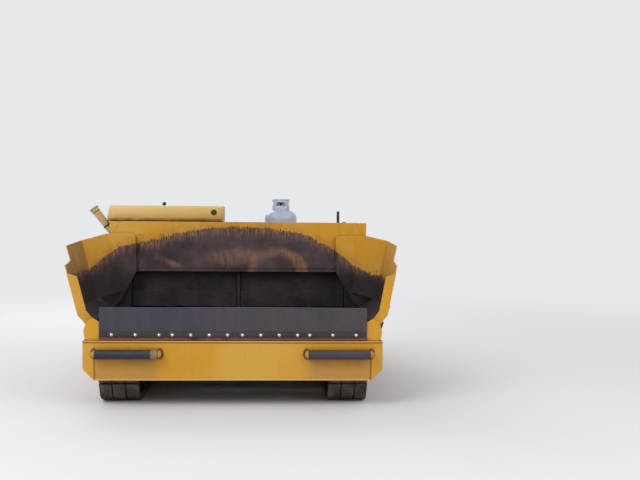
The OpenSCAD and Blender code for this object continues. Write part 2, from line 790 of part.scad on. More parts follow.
// Operator's deck, consoles, seats and rails
rail_r = 17;
module operator_deck() {
    color(YELLOW) {
        block([-waist_w / 2, bay_end, deck_z - sheet], [waist_w / 2, deck_end, deck_z]);
        both() block([waist_w / 2 - sheet, bay_end, deck_z - 100],
            [waist_w / 2, deck_end, deck_z - sheet]);
        // Posts that carry the lift cylinders
        both() {
            across(waist_w / 2 - 16, waist_w / 2) polygon([
                [lift_base[0] - 90, deck_z], [lift_base[0] + 90, deck_z],
                [lift_base[0] + 40, lift_base[1] + 40], [lift_base[0] - 40, lift_base[1] + 40]
            ]);
            bar_x(waist_w / 2, lift_x + arm_t / 2 + 6, lift_base[0], lift_base[1],
                cylinder_pin_r);
        }
    }
}
console_y = bay_end + 50;
console_x = waist_w / 2 - console_inset - console_w / 2;
console_top = deck_z + console_h;
console_t = 8;
module console_side(inset) {
    polygon([
        [console_y + inset, deck_z - inset], [console_y + 150 - inset, deck_z - inset],
        [console_y + 150 - inset, console_top - 210 + inset / 2],
        [console_y + 210 - inset, console_top - 150 + inset / 2],
        [console_y + 210 - inset, console_top - 100 - inset],
        [console_y + inset, console_top - 1.7 * inset]
    ]);
}
module console(x, tall) {
    half = console_w / 2;
    color(YELLOW) difference() {
        across(x - half, x + half) console_side(0);
        across(x - half + console_t, x + half - console_t) console_side(console_t);
    }
    color(DARK) {
        for (i = [-1 : 1])
            translate([x + i * 110, console_y + 110, console_top - 80]) {
                cylinder(h = 60, r = 8);
                translate([0, 0, 60]) sphere(16);
            }
        if (tall) translate([x - 60, console_y + 150, console_top - 90]) {
            cylinder(h = 370, r = 9);
            translate([0, 0, 370]) sphere(20);
        }
    }
}
seat_x = waist_w / 2 - seat_inset - seat_w / 2;
seat_y = deck_end - seat_forward;
seat_rear = seat_depth / 2;
seat_z = deck_z + seat_h + 15;
module seat_frames() {
    color(DARK) both() translate([seat_x, seat_y, 0]) {
        translate([0, 0, deck_z]) cylinder(h = 14, r = 130);
        translate([0, 0, deck_z]) cylinder(h = seat_z - deck_z - 20, r = 38);
        block([15 - seat_w / 2, 15 - seat_rear, seat_z - 34],
            [seat_w / 2 - 15, seat_rear + 5, seat_z - 16]);
        for (x = [-120, 120]) across(x - 15, x + 15) translate([seat_rear, seat_z]) polygon([
            [-15, -34], [59, -34], [93.6, 240], [77.6, 240], [43, -16], [-15, -16]
        ]);
    }
}
module seat_pads() {
    color(DARK) both() translate([seat_x, seat_y, 0]) {
        block([-seat_w / 2, -seat_rear, seat_z - 16 + touch], [seat_w / 2, seat_rear, seat_z + 75]);
        across(10 - seat_w / 2, seat_w / 2 - 10) translate([seat_rear, seat_z + 95]) polygon([
            [5, 0], [57.6, 0], [88.4, seat_back_h], [33, seat_back_h]
        ]);
    }
}
rail_top = deck_z + rail_h;
module handrails() {
    color(YELLOW) both() {
        x = waist_w / 2 - 45;
        y0 = bay_end + 60;
        y1 = deck_end - 250;
        for (y = [y0, y1]) {
            translate([x, y, deck_z]) cylinder(h = rail_top - deck_z, r = rail_r);
            translate([x, y, rail_top]) sphere(rail_r);
        }
        for (z = [rail_top, rail_top - 270]) bar_y(x, y0, y1, z, rail_r);
    }
}

// Tracks
guide_r = belt_in_r - touch;
module track(right) {
    pitch_r = belt_out_r;
    total = 2 * wheelbase + 2 * PI * pitch_r;
    step = total / pads;
    outline = [for (i = [0 : pads - 1]) for (k = [0 : 3])
        let (s = i * step + (k < 2 ? pad_gap / 2 : step - pad_gap / 2),
            r = (k == 0 || k == 3) ? belt_out_r : track_r)
        loop_point(s, r, pitch_r, idler_y, sprocket_y, track_r)];
    groove = 12;
    block_w = (track_w - 2 * groove) / 3;
    color(DARK) side(right) translate([track_x - track_w / 2, 0, 0]) {
        across(0, track_w) difference() {
            stadium(idler_y, sprocket_y, track_r, belt_out_r - 2);
            stadium(idler_y, sprocket_y, track_r, belt_in_r);
        }
        for (i = [0 : 2]) across(i * (block_w + groove), i * (block_w + groove) + block_w)
            difference() {
                polygon(outline);
                stadium(idler_y, sprocket_y, track_r, belt_out_r - 8);
            }
    }
}
module track_wheels(right) {
    color(STEEL) side(right) translate([track_x, 0, 0]) {
        bar_x(-65, 65, idler_y, track_r, guide_r - 12);
        for (x = [-65, 41]) bar_x(x, x + 24, idler_y, track_r, guide_r);
        bar_x(-105, 105, idler_y, track_r, 32);
        // Sprocket: a toothed rim on a drum
        across(-25, 25) translate([sprocket_y, track_r]) {
            circle(guide_r - 22);
            for (i = [0 : 14]) rotate(i * 24) translate([0, -13]) square([guide_r - 1, 26]);
        }
        bar_x(-120, 120, sprocket_y, track_r, 85);
    }
}
wheel_n = 5;
bogie_r = 52;
module track_frame(right) {
    y0 = idler_y + 60;
    y1 = sprocket_y - 60;
    color(YELLOW) side(right) translate([track_x, 0, 0]) {
        for (s = [-1, 1]) across(s * 95 - 10, s * 95 + 10) difference() {
            polygon([
                [idler_y - 60, 190], [y0 + 60, 150], [y1 - 100, 150], [sprocket_y - 60, 130],
                [sprocket_y + 112, 130], [sprocket_y + 112, 340], [sprocket_y - 60, 340],
                [y0 + 100, 340], [idler_y - 60, 280]
            ]);
            translate([idler_y, track_r]) circle(32 + touch);
            translate([sprocket_y, track_r]) circle(85 + touch);
        }
        block([-86, y0 + 190, 250], [86, y1 - 190, 320]);
        for (i = [0 : wheel_n - 1]) {
            y = idler_y + 260 + i * (wheelbase - 520) / (wheel_n - 1);
            bar_x(-84, 84, y, track_r - belt_in_r + bogie_r + touch, bogie_r);
            bar_x(-86, 86, y, track_r - belt_in_r + bogie_r + touch, 18);
            for (s = [-1, 1]) across(s * 95 - 10, s * 95 + 10)
                translate([y, track_r - belt_in_r + bogie_r + touch]) {
                    circle(34);
                    translate([-30, 0]) square([60, 70]);
                }
        }
        bar_x(-60, 60, (idler_y + sprocket_y) / 2, track_r + belt_in_r - 40 - touch, 40);
        for (s = [-1, 1]) across(s * 60 - 8, s * 60 + 8) polygon([
            [(y0 + y1) / 2 - 60, 320], [(y0 + y1) / 2 + 60, 320],
            [(y0 + y1) / 2 + 25, track_r + belt_in_r - 30], [(y0 + y1) / 2 - 25, track_r + belt_in_r - 30]
        ]);
    }
}

// Augers and their drive
module auger_drive() {
    color(YELLOW) {
        across(-38, 38) {
            translate([auger_y, auger_z]) circle(75);
            polygon([
                [auger_y - 75, auger_z], [auger_y + 75, auger_z], [auger_y + 60, deck_z - 120],
                [deck_end, deck_z - sheet - 4], [deck_end, deck_z - sheet - 88]
            ]);
        }
        both() {
            x = auger_len + 38 + 2 * clear;
            across(x, x + 14) {
                translate([auger_y, auger_z]) circle(48);
                polygon([
                    [auger_y - 48, auger_z], [auger_y + 48, auger_z], [auger_y + 30, deck_z - 60],
                    [deck_end, deck_z - sheet], [deck_end - 40, deck_z - sheet],
                    [deck_end - 40, deck_z - sheet - 80]
                ]);
            }
            bar_x(x - clear - 30, x, auger_y, auger_z, 18);
            bar_x(38, 38 + clear + 30, auger_y, auger_z, 18);
        }
    }
}
flight_t = 8;
module auger(right) {
    x0 = 38 + clear;
    flight_len = auger_len - 2 * clear;
    half_angle = flight_t / 2 / (flight_len / auger_turns) * 360;
    core = auger_shaft_d / 2 - 3;
    color(STEEL) side(right) translate([x0, auger_y, auger_z]) {
        difference() {
            rotate([0, 90, 0]) cylinder(h = auger_len, r = auger_shaft_d / 2);
            for (x = [-1, auger_len - 30 - clear]) translate([x, 0, 0]) rotate([0, 90, 0])
                cylinder(h = 31 + clear + 1, r = 18 + pin_play);
        }
        translate([clear, 0, 0]) rotate([0, 90, 0])
            linear_extrude(flight_len, twist = 360 * auger_turns, slices = 28 * auger_turns,
                segments = 8)
            polygon([for (a = [-half_angle, half_angle]) each a < 0
                ? [core * [cos(a), sin(a)], auger_d / 2 * [cos(a), sin(a)]]
                : [auger_d / 2 * [cos(a), sin(a)], core * [cos(a), sin(a)]]]);
    }
}

// Screed
sole_t = 12;
screed_z = screed_lift;
screed_top = screed_z + screed_h;
bar_r = 24;
// Inner end of each slide bar, still between the plates when the extension is out
bar_in = 400 - extension_travel;
bar_y = screed_end - 44;
bar_z = [screed_z + 90, screed_z + 190];
rib_x = 430;
burner_x = 800;
burner_w = 300;
module screed_body() {
    half = screed_w / 2;
    y0 = screed_y;
    y1 = screed_end;
    color(YELLOW) difference() {
        union() {
            across(-half, half) difference() {
                polygon([
                    [y0 + 34, screed_z], [y1, screed_z], [y1, screed_top - 40],
                    [y1 - 60, screed_top], [y0, screed_top], [y0, screed_z + 60],
                    [y0 + 10, screed_z + 22]
                ]);
                polygon([
                    [y0 + 40, screed_z + sole_t], [y1 - 10, screed_z + sole_t],
                    [y1 - 10, screed_top - 46], [y1 - 66, screed_top - 8], [y1 - 120, screed_top - 8],
                    [y1 - 120, screed_top + 1], [y0 + 120, screed_top + 1],
                    [y0 + 120, screed_top - 8], [y0 + 10, screed_top - 8],
                    [y0 + 10, screed_z + 64]
                ]);
            }
            both() across(half - sheet, half) polygon([
                [y0 + 36, screed_z + 2], [y1 - 2, screed_z + 2], [y1 - 2, screed_top - 42],
                [y1 - 62, screed_top - 2], [y0 + 2, screed_top - 2], [y0 + 2, screed_z + 62]
            ]);
            // Gas burner boxes on the sole plate, each with its burner tube
            for (x = [-burner_x - burner_w / 2, burner_x - burner_w / 2]) {
                block([x, y0 + 130, screed_z + sole_t - 1],
                    [x + burner_w, y0 + 250, screed_z + sole_t + 130]);
                bar_x(x - 60, x + 1, y0 + 190, screed_z + 90, 26);
            }
            // Brackets under the arms
            both() block([waist_w / 2 + 8, y0 + 20, screed_top - 4],
                [waist_w / 2 + 20 + arm_t + 12, y0 + 330, arm_low]);
            // Inner ribs that guide the extensions' bars
            both() across(rib_x, rib_x + 14) polygon([
                [y0 + 36, screed_z + 2], [y1 - 2, screed_z + 2], [y1 - 2, screed_top - 42],
                [y1 - 62, screed_top - 2], [y0 + 2, screed_top - 2], [y0 + 2, screed_z + 62]
            ]);
        }
        for (z = bar_z) bar_x(-half - 1, half + 1, bar_y, z, bar_r + pin_play);
    }
}
arm_low = screed_top + 16;
arm_h = 110;
module screed_arms() {
    x0 = waist_w / 2 + 20;
    color(YELLOW) both() {
        across(x0, x0 + arm_t) difference() {
            union() {
                translate([tow_y, tow_z]) circle(62);
                polygon([
                    [tow_y, tow_z - 62], [deck_end - 140, tow_z - 50], [screed_y - 20, arm_low],
                    [screed_end - 40, arm_low], [screed_end - 40, arm_low + arm_h],
                    [screed_y + 60, arm_low + arm_h], [deck_end - 160, tow_z + 66],
                    [tow_y, tow_z + 62]
                ]);
                translate(lift_lug) circle(34);
                translate([lift_lug[0] - 34, tow_z]) square([68, lift_lug[1] - tow_z]);
            }
            translate([tow_y, tow_z]) circle(tow_pin_d / 2 + pin_play);
            translate([lift_lug[0] - 50, lift_lug[1] - 44]) square([100, 100]);
        }
        // Fork and pin for the lift cylinder
        for (x = [x0, x0 + arm_t - 8]) across(x, x + 8) {
            translate(lift_lug) circle(26);
            translate([lift_lug[0] - 26, lift_lug[1] - 46]) square([52, 46]);
        }
        bar_x(x0, x0 + arm_t, lift_lug[0], lift_lug[1], cylinder_pin_r);
    }
}
walkway_inset = 220;
module screed_walkway() {
    z = screed_top + 30;
    y0 = screed_end - 30;
    x1 = screed_w / 2 - walkway_inset;
    color(STEEL) {
        difference() {
            block([-x1, y0, z], [x1, rear_y, z + 30]);
            for (i = [0 : 19])
                block([-x1 + 30 + i * 98, y0 + 30, z - 1], [-x1 + 108 + i * 98, rear_y - 30, z + 31]);
        }
        for (x = [-700, 0, 700]) across(x - 8, x + 8) polygon([
            [screed_end - 140, screed_top], [screed_end - 62, screed_top], [screed_end, z - 8],
            [rear_y - 60, z], [screed_end - 140, z]
        ]);
    }
}
screw_y = screed_y + 200;
screw_sleeve = 410;
crank_len = 126;
crank_turn = 52;
module depth_screws() {
    sleeve_top = arm_low + arm_h + screw_sleeve;
    color(STEEL) both() translate([waist_w / 2 + 20 + arm_t / 2, screw_y, 0]) {
        translate([0, 0, arm_low + arm_h]) cylinder(h = screw_sleeve, r = 24);
        translate([0, 0, sleeve_top - 10]) cylinder(h = crank_z - sleeve_top + 20, r = 12);
        rotate([0, 0, crank_turn]) {
            translate([0, 0, crank_z]) rotate([0, -90, 0]) cylinder(h = crank_len, r = 9);
            translate([-crank_len, 0, crank_z - 10]) cylinder(h = grip_len, r = 16);
        }
    }
}

// Screed extension with its end gate, sliding on two bars
gate_t = 14;
end_x = screed_w / 2 + clear;
module extension(right) {
    y0 = screed_end + screed_gap;
    y1 = rear_y - 6;
    color(YELLOW) side(right) {
        difference() {
            across(30, end_x) difference() {
                polygon([
                    [y0 + 26, screed_z], [y1, screed_z], [y1, screed_top - 60],
                    [y0, screed_top - 60], [y0, screed_z + 50]
                ]);
                polygon([
                    [y0 + 30, screed_z + sole_t], [y1 - 8, screed_z + sole_t],
                    [y1 - 8, screed_top - 100], [y0 + 8, screed_top - 100], [y0 + 8, screed_z + 54]
                ]);
            }
        }
        across(end_x, end_x + gate_t) polygon([
            [auger_y - 100, screed_z + 40], [auger_y - 60, screed_z + 2], [y1 - 30, screed_z + 2],
            [y1, screed_z + 30], [y1, screed_top - 40], [auger_y - 100, screed_top - 40]
        ]);
        // Ski along the end gate's foot
        block([end_x, auger_y - 60, screed_z + 2], [end_x + 60, y1 - 40, screed_z + 12]);
        // Bar that slides through the screed's plates
        bar_x(bar_in, end_x + 1, bar_y, bar_z[right ? 1 : 0], bar_r);
    }
}

// Cylinders
barrel_r = 26;
rod_r = 12;
module barrel(len, width) {
    difference() {
        union() {
            rotate([0, 90, 0]) translate([0, 0, -width / 2]) cylinder(h = width, r = 24);
            translate([0, 0, 20]) cylinder(h = len - 20, r = barrel_r);
        }
        rotate([0, 90, 0]) translate([0, 0, -width]) cylinder(h = 2 * width,
            r = cylinder_pin_r + pin_play);
        translate([0, 0, 60]) cylinder(h = len, r = rod_r + pin_play);
    }
}
module rod(start, len, width) {
    difference() {
        union() {
            translate([0, 0, start]) cylinder(h = len - start - eye_r + 6, r = rod_r);
            translate([0, 0, len]) rotate([0, 90, 0]) translate([0, 0, -width / 2])
                cylinder(h = width, r = eye_r);
        }
        translate([0, 0, len]) rotate([0, 90, 0]) translate([0, 0, -width])
            cylinder(h = 2 * width, r = eye_bore);
    }
}
function wing_pin(right) =
    let (p = rotated(wing_lug, (right ? 1 : -1) * wing_offset)) [hinge_x + p[0], hinge_z + p[1]];
module in_wing_cylinder(right) {
    side(right) translate([wing_base[0], wing_cylinder_y, wing_base[1]])
        rotate([0, 90 - direction(wing_base, wing_pin(right)), 0]) rotate([0, 0, 90]) children();
}
module in_lift_cylinder(right) {
    side(right) translate([lift_x, lift_base[0], lift_base[1]])
        rotate([direction(lift_base, lift_lug) - 90, 0, 0]) children();
}
module wing_barrel(right) {
    color(STEEL) in_wing_cylinder(right) barrel(330, 56);
}
module wing_rod(right) {
    color("silver") in_wing_cylinder(right) rod(150, norm(wing_pin(right) - wing_base), 20);
}
module lift_barrel(right) {
    color(STEEL) in_lift_cylinder(right) barrel(370, 30);
}
module lift_rod(right) {
    color("silver") in_lift_cylinder(right) rod(260, norm(lift_lug - lift_base), 20);
}

// Hopper wing, drawn from its hinge with +X outwards, then leaned by its offset
bend = [126, 110];
foot = [12, 10];
lip_t = 10;
// How far the lip hangs under the bend, and stands proud of the side
lip_drop = 50;
lip_edge = 2;
// A point of the leaning side, moved level to a height over the hinge
function leaning(x, z) = [x + (z - bend[1]) * tan(wing_lean), z];
module wing_shape() {
    y1 = wall_y - 32;
    corner = 210;
    lean_top = 720;
    // Upper side and the corner panel, standing on the bend
    intersection() {
        translate([bend[0], 0, bend[1]]) rotate([0, wing_lean, 0]) linear_extrude(lean_top)
            polygon([
                [0, wing_y], [0, y1 - corner], [-corner, y1], [-corner - wing_t * 0.42, y1 - wing_t],
                [-wing_t, y1 - corner - wing_t * 0.42], [-wing_t, wing_y]
            ]);
        across(-200, 400) polygon([
            [wing_y - 1, bend[1]], [wing_y - 1, wing_front_h], [wing_y + wing_cut, wing_front_h + 26],
            [wing_y + wing_cut - 14, wing_top_h], [y1 - corner, wing_top_h + 22],
            [y1 + 1, wing_back_h], [y1 + 1, bend[1]]
        ]);
    }
    // Lower side, from the hinge to the bend
    along(wing_y, y1) polygon([
        foot, bend, bend + [-6, 7], foot + [-16, 10]
    ]);
    // Rear plate
    along(y1 - wing_t, y1) polygon([
        foot + [-16, 10], [-60, 60], [wing_back_x - hinge_x, 340],
        [wing_back_x - hinge_x, wing_back_h - 20], [wing_back_x - hinge_x + 20, wing_back_h],
        [60, wing_back_h - 2], [bend[0] - corner + 140, wing_back_h - 20],
        bend + [-4, 0], foot
    ]);
    // Front lip, which ends round the hinge pin, behind the hinge cover
    along(wing_y, wing_y + lip_t) {
        circle(hinge_r - 2);
        polygon([
            [-18, 14], leaning(bend[0] - lip_w, bend[1] - 18), leaning(bend[0] - lip_w, 375),
            leaning(bend[0] + lip_edge, 402), leaning(bend[0] + lip_edge, bend[1] - lip_drop),
            [50, 4 - hinge_r], [0, 4 - hinge_r]
        ]);
    }
    // Outer ribs
    for (y = [wing_y + 300, wing_y + 640]) along(y, y + 10) polygon([
        bend + [-40, -30], bend + [26, 4], bend + [26 + 300 * tan(wing_lean), 300],
        bend + [-2 + 380 * tan(wing_lean), 380], bend + [-4, 0]
    ]);
    // Lugs of the wing cylinder
    for (s = [-1, 1]) along(wing_cylinder_y + s * 18 - 5, wing_cylinder_y + s * 18 + 5) {
        translate(wing_lug) circle(22);
        polygon([bend + [-50, -40], wing_lug + [0, -22], wing_lug + [8, 20], bend + [0, 20]]);
    }
    translate([wing_lug[0], wing_cylinder_y - 23, wing_lug[1]]) rotate([-90, 0, 0])
        cylinder(h = 46, r = cylinder_pin_r);
}
module wing(right) {
    knuckle_y = [for (p = lug_places) wing_y + p * (hopper_len - 60)];
    color(YELLOW) side(right) translate([hinge_x, 0, hinge_z])
        rotate([0, (right ? -1 : 1) * wing_offset, 0]) difference() {
            union() {
                wing_shape();
                for (i = [0 : len(knuckle_y) - 2])
                    bar_y(0, knuckle_y[i] + lug_t + lug_gap, knuckle_y[i + 1] - lug_gap, 0, hinge_r - 2);
            }
            bar_y(0, wing_y - 50, wall_y, 0, hinge_pin_r + pin_play);
            for (y = knuckle_y) bar_y(0, y - lug_gap, y + lug_t + lug_gap, 0, hinge_r + clear);
        }
}

main_frame();
tunnel_housing();
front_bumper();
hopper_floor();
rear_wall();
apron_flap();
flap_bars();
mirror([1, 0, 0]) conveyor();  // conveyor_left
conveyor();  // conveyor_right
engine_block();
radiator();
engine_cowl();
engine_hood();
filler_neck();
oil_tank();
gas_bottle();
operator_deck();
console(-console_x, true);  // console_left
console(console_x, false);  // console_right
seat_frames();
seat_pads();
handrails();
track_frame(false);  // track_frame_left
track_frame(true);  // track_frame_right
track(false);  // track_left
track(true);  // track_right
track_wheels(false);  // track_wheels_left
track_wheels(true);  // track_wheels_right
auger_drive();
auger(false);  // auger_left
auger(true);  // auger_right
mirror([1, 0, 0]) gate();  // gate_left
gate();  // gate_right
push_roller(-roller_x);  // push_roller_left
push_roller(roller_x);  // push_roller_right
wing(false);  // wing_left
wing(true);  // wing_right
wing_barrel(false);  // wing_barrel_left
wing_barrel(true);  // wing_barrel_right
wing_rod(false);  // wing_rod_left
wing_rod(true);  // wing_rod_right
screed_body();
screed_arms();
screed_walkway();
depth_screws();
extension(false);  // extension_left
extension(true);  // extension_right
lift_barrel(false);  // lift_barrel_left
lift_barrel(true);  // lift_barrel_right
lift_rod(false);  // lift_rod_left
lift_rod(true);  // lift_rod_right
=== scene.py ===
"""The looks of a small tracked asphalt paver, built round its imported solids.

Everything is in metres, in the frame of the solids: +X to the right seen from the front,
+Y to the rear, +Z up, with the origin on the ground under the middle of the machine.
"""

import math

import bmesh
import bpy
import numpy as np
from mathutils import Matrix, Vector, noise
from mathutils.bvhtree import BVHTree


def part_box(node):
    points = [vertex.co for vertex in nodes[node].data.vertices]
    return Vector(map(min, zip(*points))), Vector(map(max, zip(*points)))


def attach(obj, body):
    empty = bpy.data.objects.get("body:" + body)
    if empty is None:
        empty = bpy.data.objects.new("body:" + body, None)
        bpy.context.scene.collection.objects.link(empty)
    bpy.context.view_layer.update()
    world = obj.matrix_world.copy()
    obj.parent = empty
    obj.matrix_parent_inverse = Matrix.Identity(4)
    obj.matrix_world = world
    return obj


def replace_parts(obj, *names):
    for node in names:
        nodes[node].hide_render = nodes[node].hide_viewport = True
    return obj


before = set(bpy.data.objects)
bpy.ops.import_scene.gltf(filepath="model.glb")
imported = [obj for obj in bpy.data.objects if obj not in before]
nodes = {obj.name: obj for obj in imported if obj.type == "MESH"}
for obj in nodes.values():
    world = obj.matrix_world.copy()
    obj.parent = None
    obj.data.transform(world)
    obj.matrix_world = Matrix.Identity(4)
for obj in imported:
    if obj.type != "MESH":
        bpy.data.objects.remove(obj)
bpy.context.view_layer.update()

SIDES = {"left": -1, "right": 1}


def add_object(name, data):
    obj = bpy.data.objects.new(name, data)
    bpy.context.scene.collection.objects.link(obj)
    return obj


def put(value, socket):
    """Sets a socket to a number, a vector or a colour, or links it to another socket."""
    if isinstance(value, Field):
        value = value.socket
    if isinstance(value, bpy.types.NodeSocket):
        socket.id_data.links.new(value, socket)
    elif socket.type == "RGBA" and len(value) == 3:
        socket.default_value = (*value, 1)
    else:
        socket.default_value = value


def add_node(tree, kind, inputs=None, **settings):
    """A shader node with its settings and its inputs."""
    node = tree.nodes.new("ShaderNode" + kind)
    for key, value in settings.items():
        setattr(node, key, value)
    for key, value in (inputs or {}).items():
        put(value, node.inputs[key])
    return node


# Camera, lamps and floor

# The photograph's view: where the camera stands, and its turn, drop and tilt in degrees
CAMERA_AT = Vector((0.2497, -9.7944, 1.5997))
CAMERA_YAW, CAMERA_PITCH, CAMERA_ROLL = 3.205, 1.639, 0.534
FOCAL_PIXELS = 976.99
IMAGE_WIDTH = 640
SENSOR = 36.0

# Each lamp: its name, place, target, size and power
LAMPS = [
    ("key", (-5.5, -8.0, 7.5), (0, -0.8, 0.8), (6, 5), 520),
    ("fill", (6.5, -7.0, 4.5), (0, -0.8, 0.8), (6, 5), 210),
    ("rear", (-3.0, 8.0, 7.0), (0, 0.8, 0.8), (7, 5), 420),
]
BACKGROUND = (0.80, 0.81, 0.83, 1)
WORLD_LIGHT = (0.62, 0.64, 0.68, 1)
FLOOR_COLOUR = (0.72, 0.715, 0.71, 1)
FLOOR_HALF = 60
# The floor fades into the backdrop between these distances from the machine
FLOOR_FADE = (3.0, 11.0)


def add_camera():
    yaw, pitch, roll = (math.radians(a) for a in (CAMERA_YAW, CAMERA_PITCH, CAMERA_ROLL))
    forward = Vector((math.sin(yaw) * math.cos(pitch), math.cos(yaw) * math.cos(pitch), -math.sin(pitch)))
    right = Vector((math.cos(yaw), -math.sin(yaw), 0))
    up = right.cross(forward)
    tilted_right = right * math.cos(roll) + up * math.sin(roll)
    tilted_up = up * math.cos(roll) - right * math.sin(roll)
    data = bpy.data.cameras.new("camera")
    data.sensor_width = SENSOR
    data.lens = FOCAL_PIXELS / IMAGE_WIDTH * SENSOR
    camera = add_object("camera", data)
    turn = Matrix((tilted_right, tilted_up, -forward)).transposed().to_4x4()
    camera.matrix_world = Matrix.Translation(CAMERA_AT) @ turn
    bpy.context.scene.camera = camera


def add_lamp(name, at, target, size, power):
    data = bpy.data.lights.new(name, "AREA")
    data.shape = "RECTANGLE"
    data.size, data.size_y = size
    data.energy = power
    lamp = add_object(name, data)
    lamp.location = at
    lamp.rotation_euler = (Vector(target) - Vector(at)).to_track_quat("-Z", "Y").to_euler()


def seen_by_camera(tree):
    """1 for the camera, for reflections and for what shows through glass; 0 for light on the object."""
    rays = add_node(tree, "LightPath").outputs
    total = rays["Is Camera Ray"]
    for ray in ("Is Glossy Ray", "Is Transmission Ray"):
        total = add_node(tree, "Math", {0: total, 1: rays[ray]}, operation="MAXIMUM").outputs[0]
    return total


def add_studio():
    world = bpy.data.worlds.new("studio")
    bpy.context.scene.world = world
    world.use_nodes = True
    tree = world.node_tree
    light = add_node(tree, "Mix", {0: seen_by_camera(tree), 6: WORLD_LIGHT, 7: BACKGROUND}, data_type="RGBA")
    put(light.outputs[2], tree.nodes["Background"].inputs["Color"])
    for lamp in LAMPS:
        add_lamp(*lamp)
    mesh = bpy.data.meshes.new("floor")
    corners = [(x * FLOOR_HALF, y * FLOOR_HALF, 0) for x, y in ((-1, -1), (1, -1), (1, 1), (-1, 1))]
    mesh.from_pydata(corners, [], [(0, 1, 2, 3)])
    floor = add_object("floor", mesh)
    look = bpy.data.materials.new("floor")
    look.use_nodes = True
    tree = look.node_tree
    shader = tree.nodes["Principled BSDF"]
    shader.inputs["Base Color"].default_value = FLOOR_COLOUR
    shader.inputs["Roughness"].default_value = 0.9
    place = add_node(tree, "TexCoord").outputs["Object"]
    reach = add_node(tree, "VectorMath", {0: place}, operation="LENGTH").outputs["Value"]
    fade = add_node(tree, "MapRange", {0: reach, 1: FLOOR_FADE[0], 2: FLOOR_FADE[1]},
                    interpolation_type="SMOOTHSTEP").outputs[0]
    far = add_node(tree, "Math", {0: fade, 1: seen_by_camera(tree)}, operation="MULTIPLY").outputs[0]
    backdrop = add_node(tree, "Emission", {"Color": BACKGROUND}).outputs[0]
    blend = add_node(tree, "MixShader", {0: far, 1: shader.outputs[0], 2: backdrop})
    put(blend.outputs[0], tree.nodes["Material Output"].inputs["Surface"])
    mesh.materials.append(look)


# Materials

YELLOW = (0.585, 0.278, 0.014)
YELLOW_FADED = (0.615, 0.335, 0.048)
# The paint's faded patches: the grain of their noise, and where it turns from one tone to the other
FADING = (1.7, 3, 0.5), (0.42, 0.68)
DUST = (0.40, 0.33, 0.25)
MUD = (0.20, 0.125, 0.075)
RUST = (0.20, 0.070, 0.025)
BARE_STEEL = (0.33, 0.31, 0.30)
TAR = (0.030, 0.020, 0.022)
TAR_GREY = (0.078, 0.053, 0.056)
TAR_BROWN = (0.120, 0.062, 0.042)
# Asphalt darkened by painted shade, for places that lie in shade
TAR_SHADE = (0.011, 0.008, 0.010)


def times(share, colour):
    return tuple(share * c for c in colour)


class Field:
    """A number that varies over a surface. Nodes of its look do its arithmetic."""

    def __init__(self, look, socket):
        self.look, self.socket = look, socket

    def __add__(self, other):
        return self.look.math("ADD", self, other)

    def __sub__(self, other):
        return self.look.math("SUBTRACT", self, other)

    def __mul__(self, other):
        return self.look.math("MULTIPLY", self, other)

    def __or__(self, other):
        """The larger of the two."""
        return self.look.math("MAXIMUM", self, other)

    def __abs__(self):
        return self.look.math("ABSOLUTE", self)

    def __invert__(self):
        """What is missing to 1."""
        return self.look.math("SUBTRACT", 1.0, self)

    def step(self, low, high):
        """Rises smoothly from 0 at low to 1 at high, or falls where low is the larger."""
        ends = {1: low, 2: high} if low < high else {1: high, 2: low, 3: 1, 4: 0}
        return self.look.field("MapRange", {0: self, **ends}, interpolation_type="SMOOTHSTEP")

    def curve(self, low, high, points):
        """A smooth curve through points (value, result) between two values."""
        span = self.look.field("MapRange", {0: self, 1: low, 2: high})
        node = add_node(self.look.tree, "FloatCurve", {"Value": span})
        results = [p[1] for p in points]
        base, reach = min(results), max(results) - min(results)
        places = [((at - low) / (high - low), (result - base) / reach) for at, result in points]
        line = node.mapping.curves[0]
        line.points[0].location = places[0]
        line.points[1].location = places[-1]
        for place in places[1:-1]:
            line.points.new(*place)
        node.mapping.update()
        return Field(self.look, node.outputs[0]) * reach + base


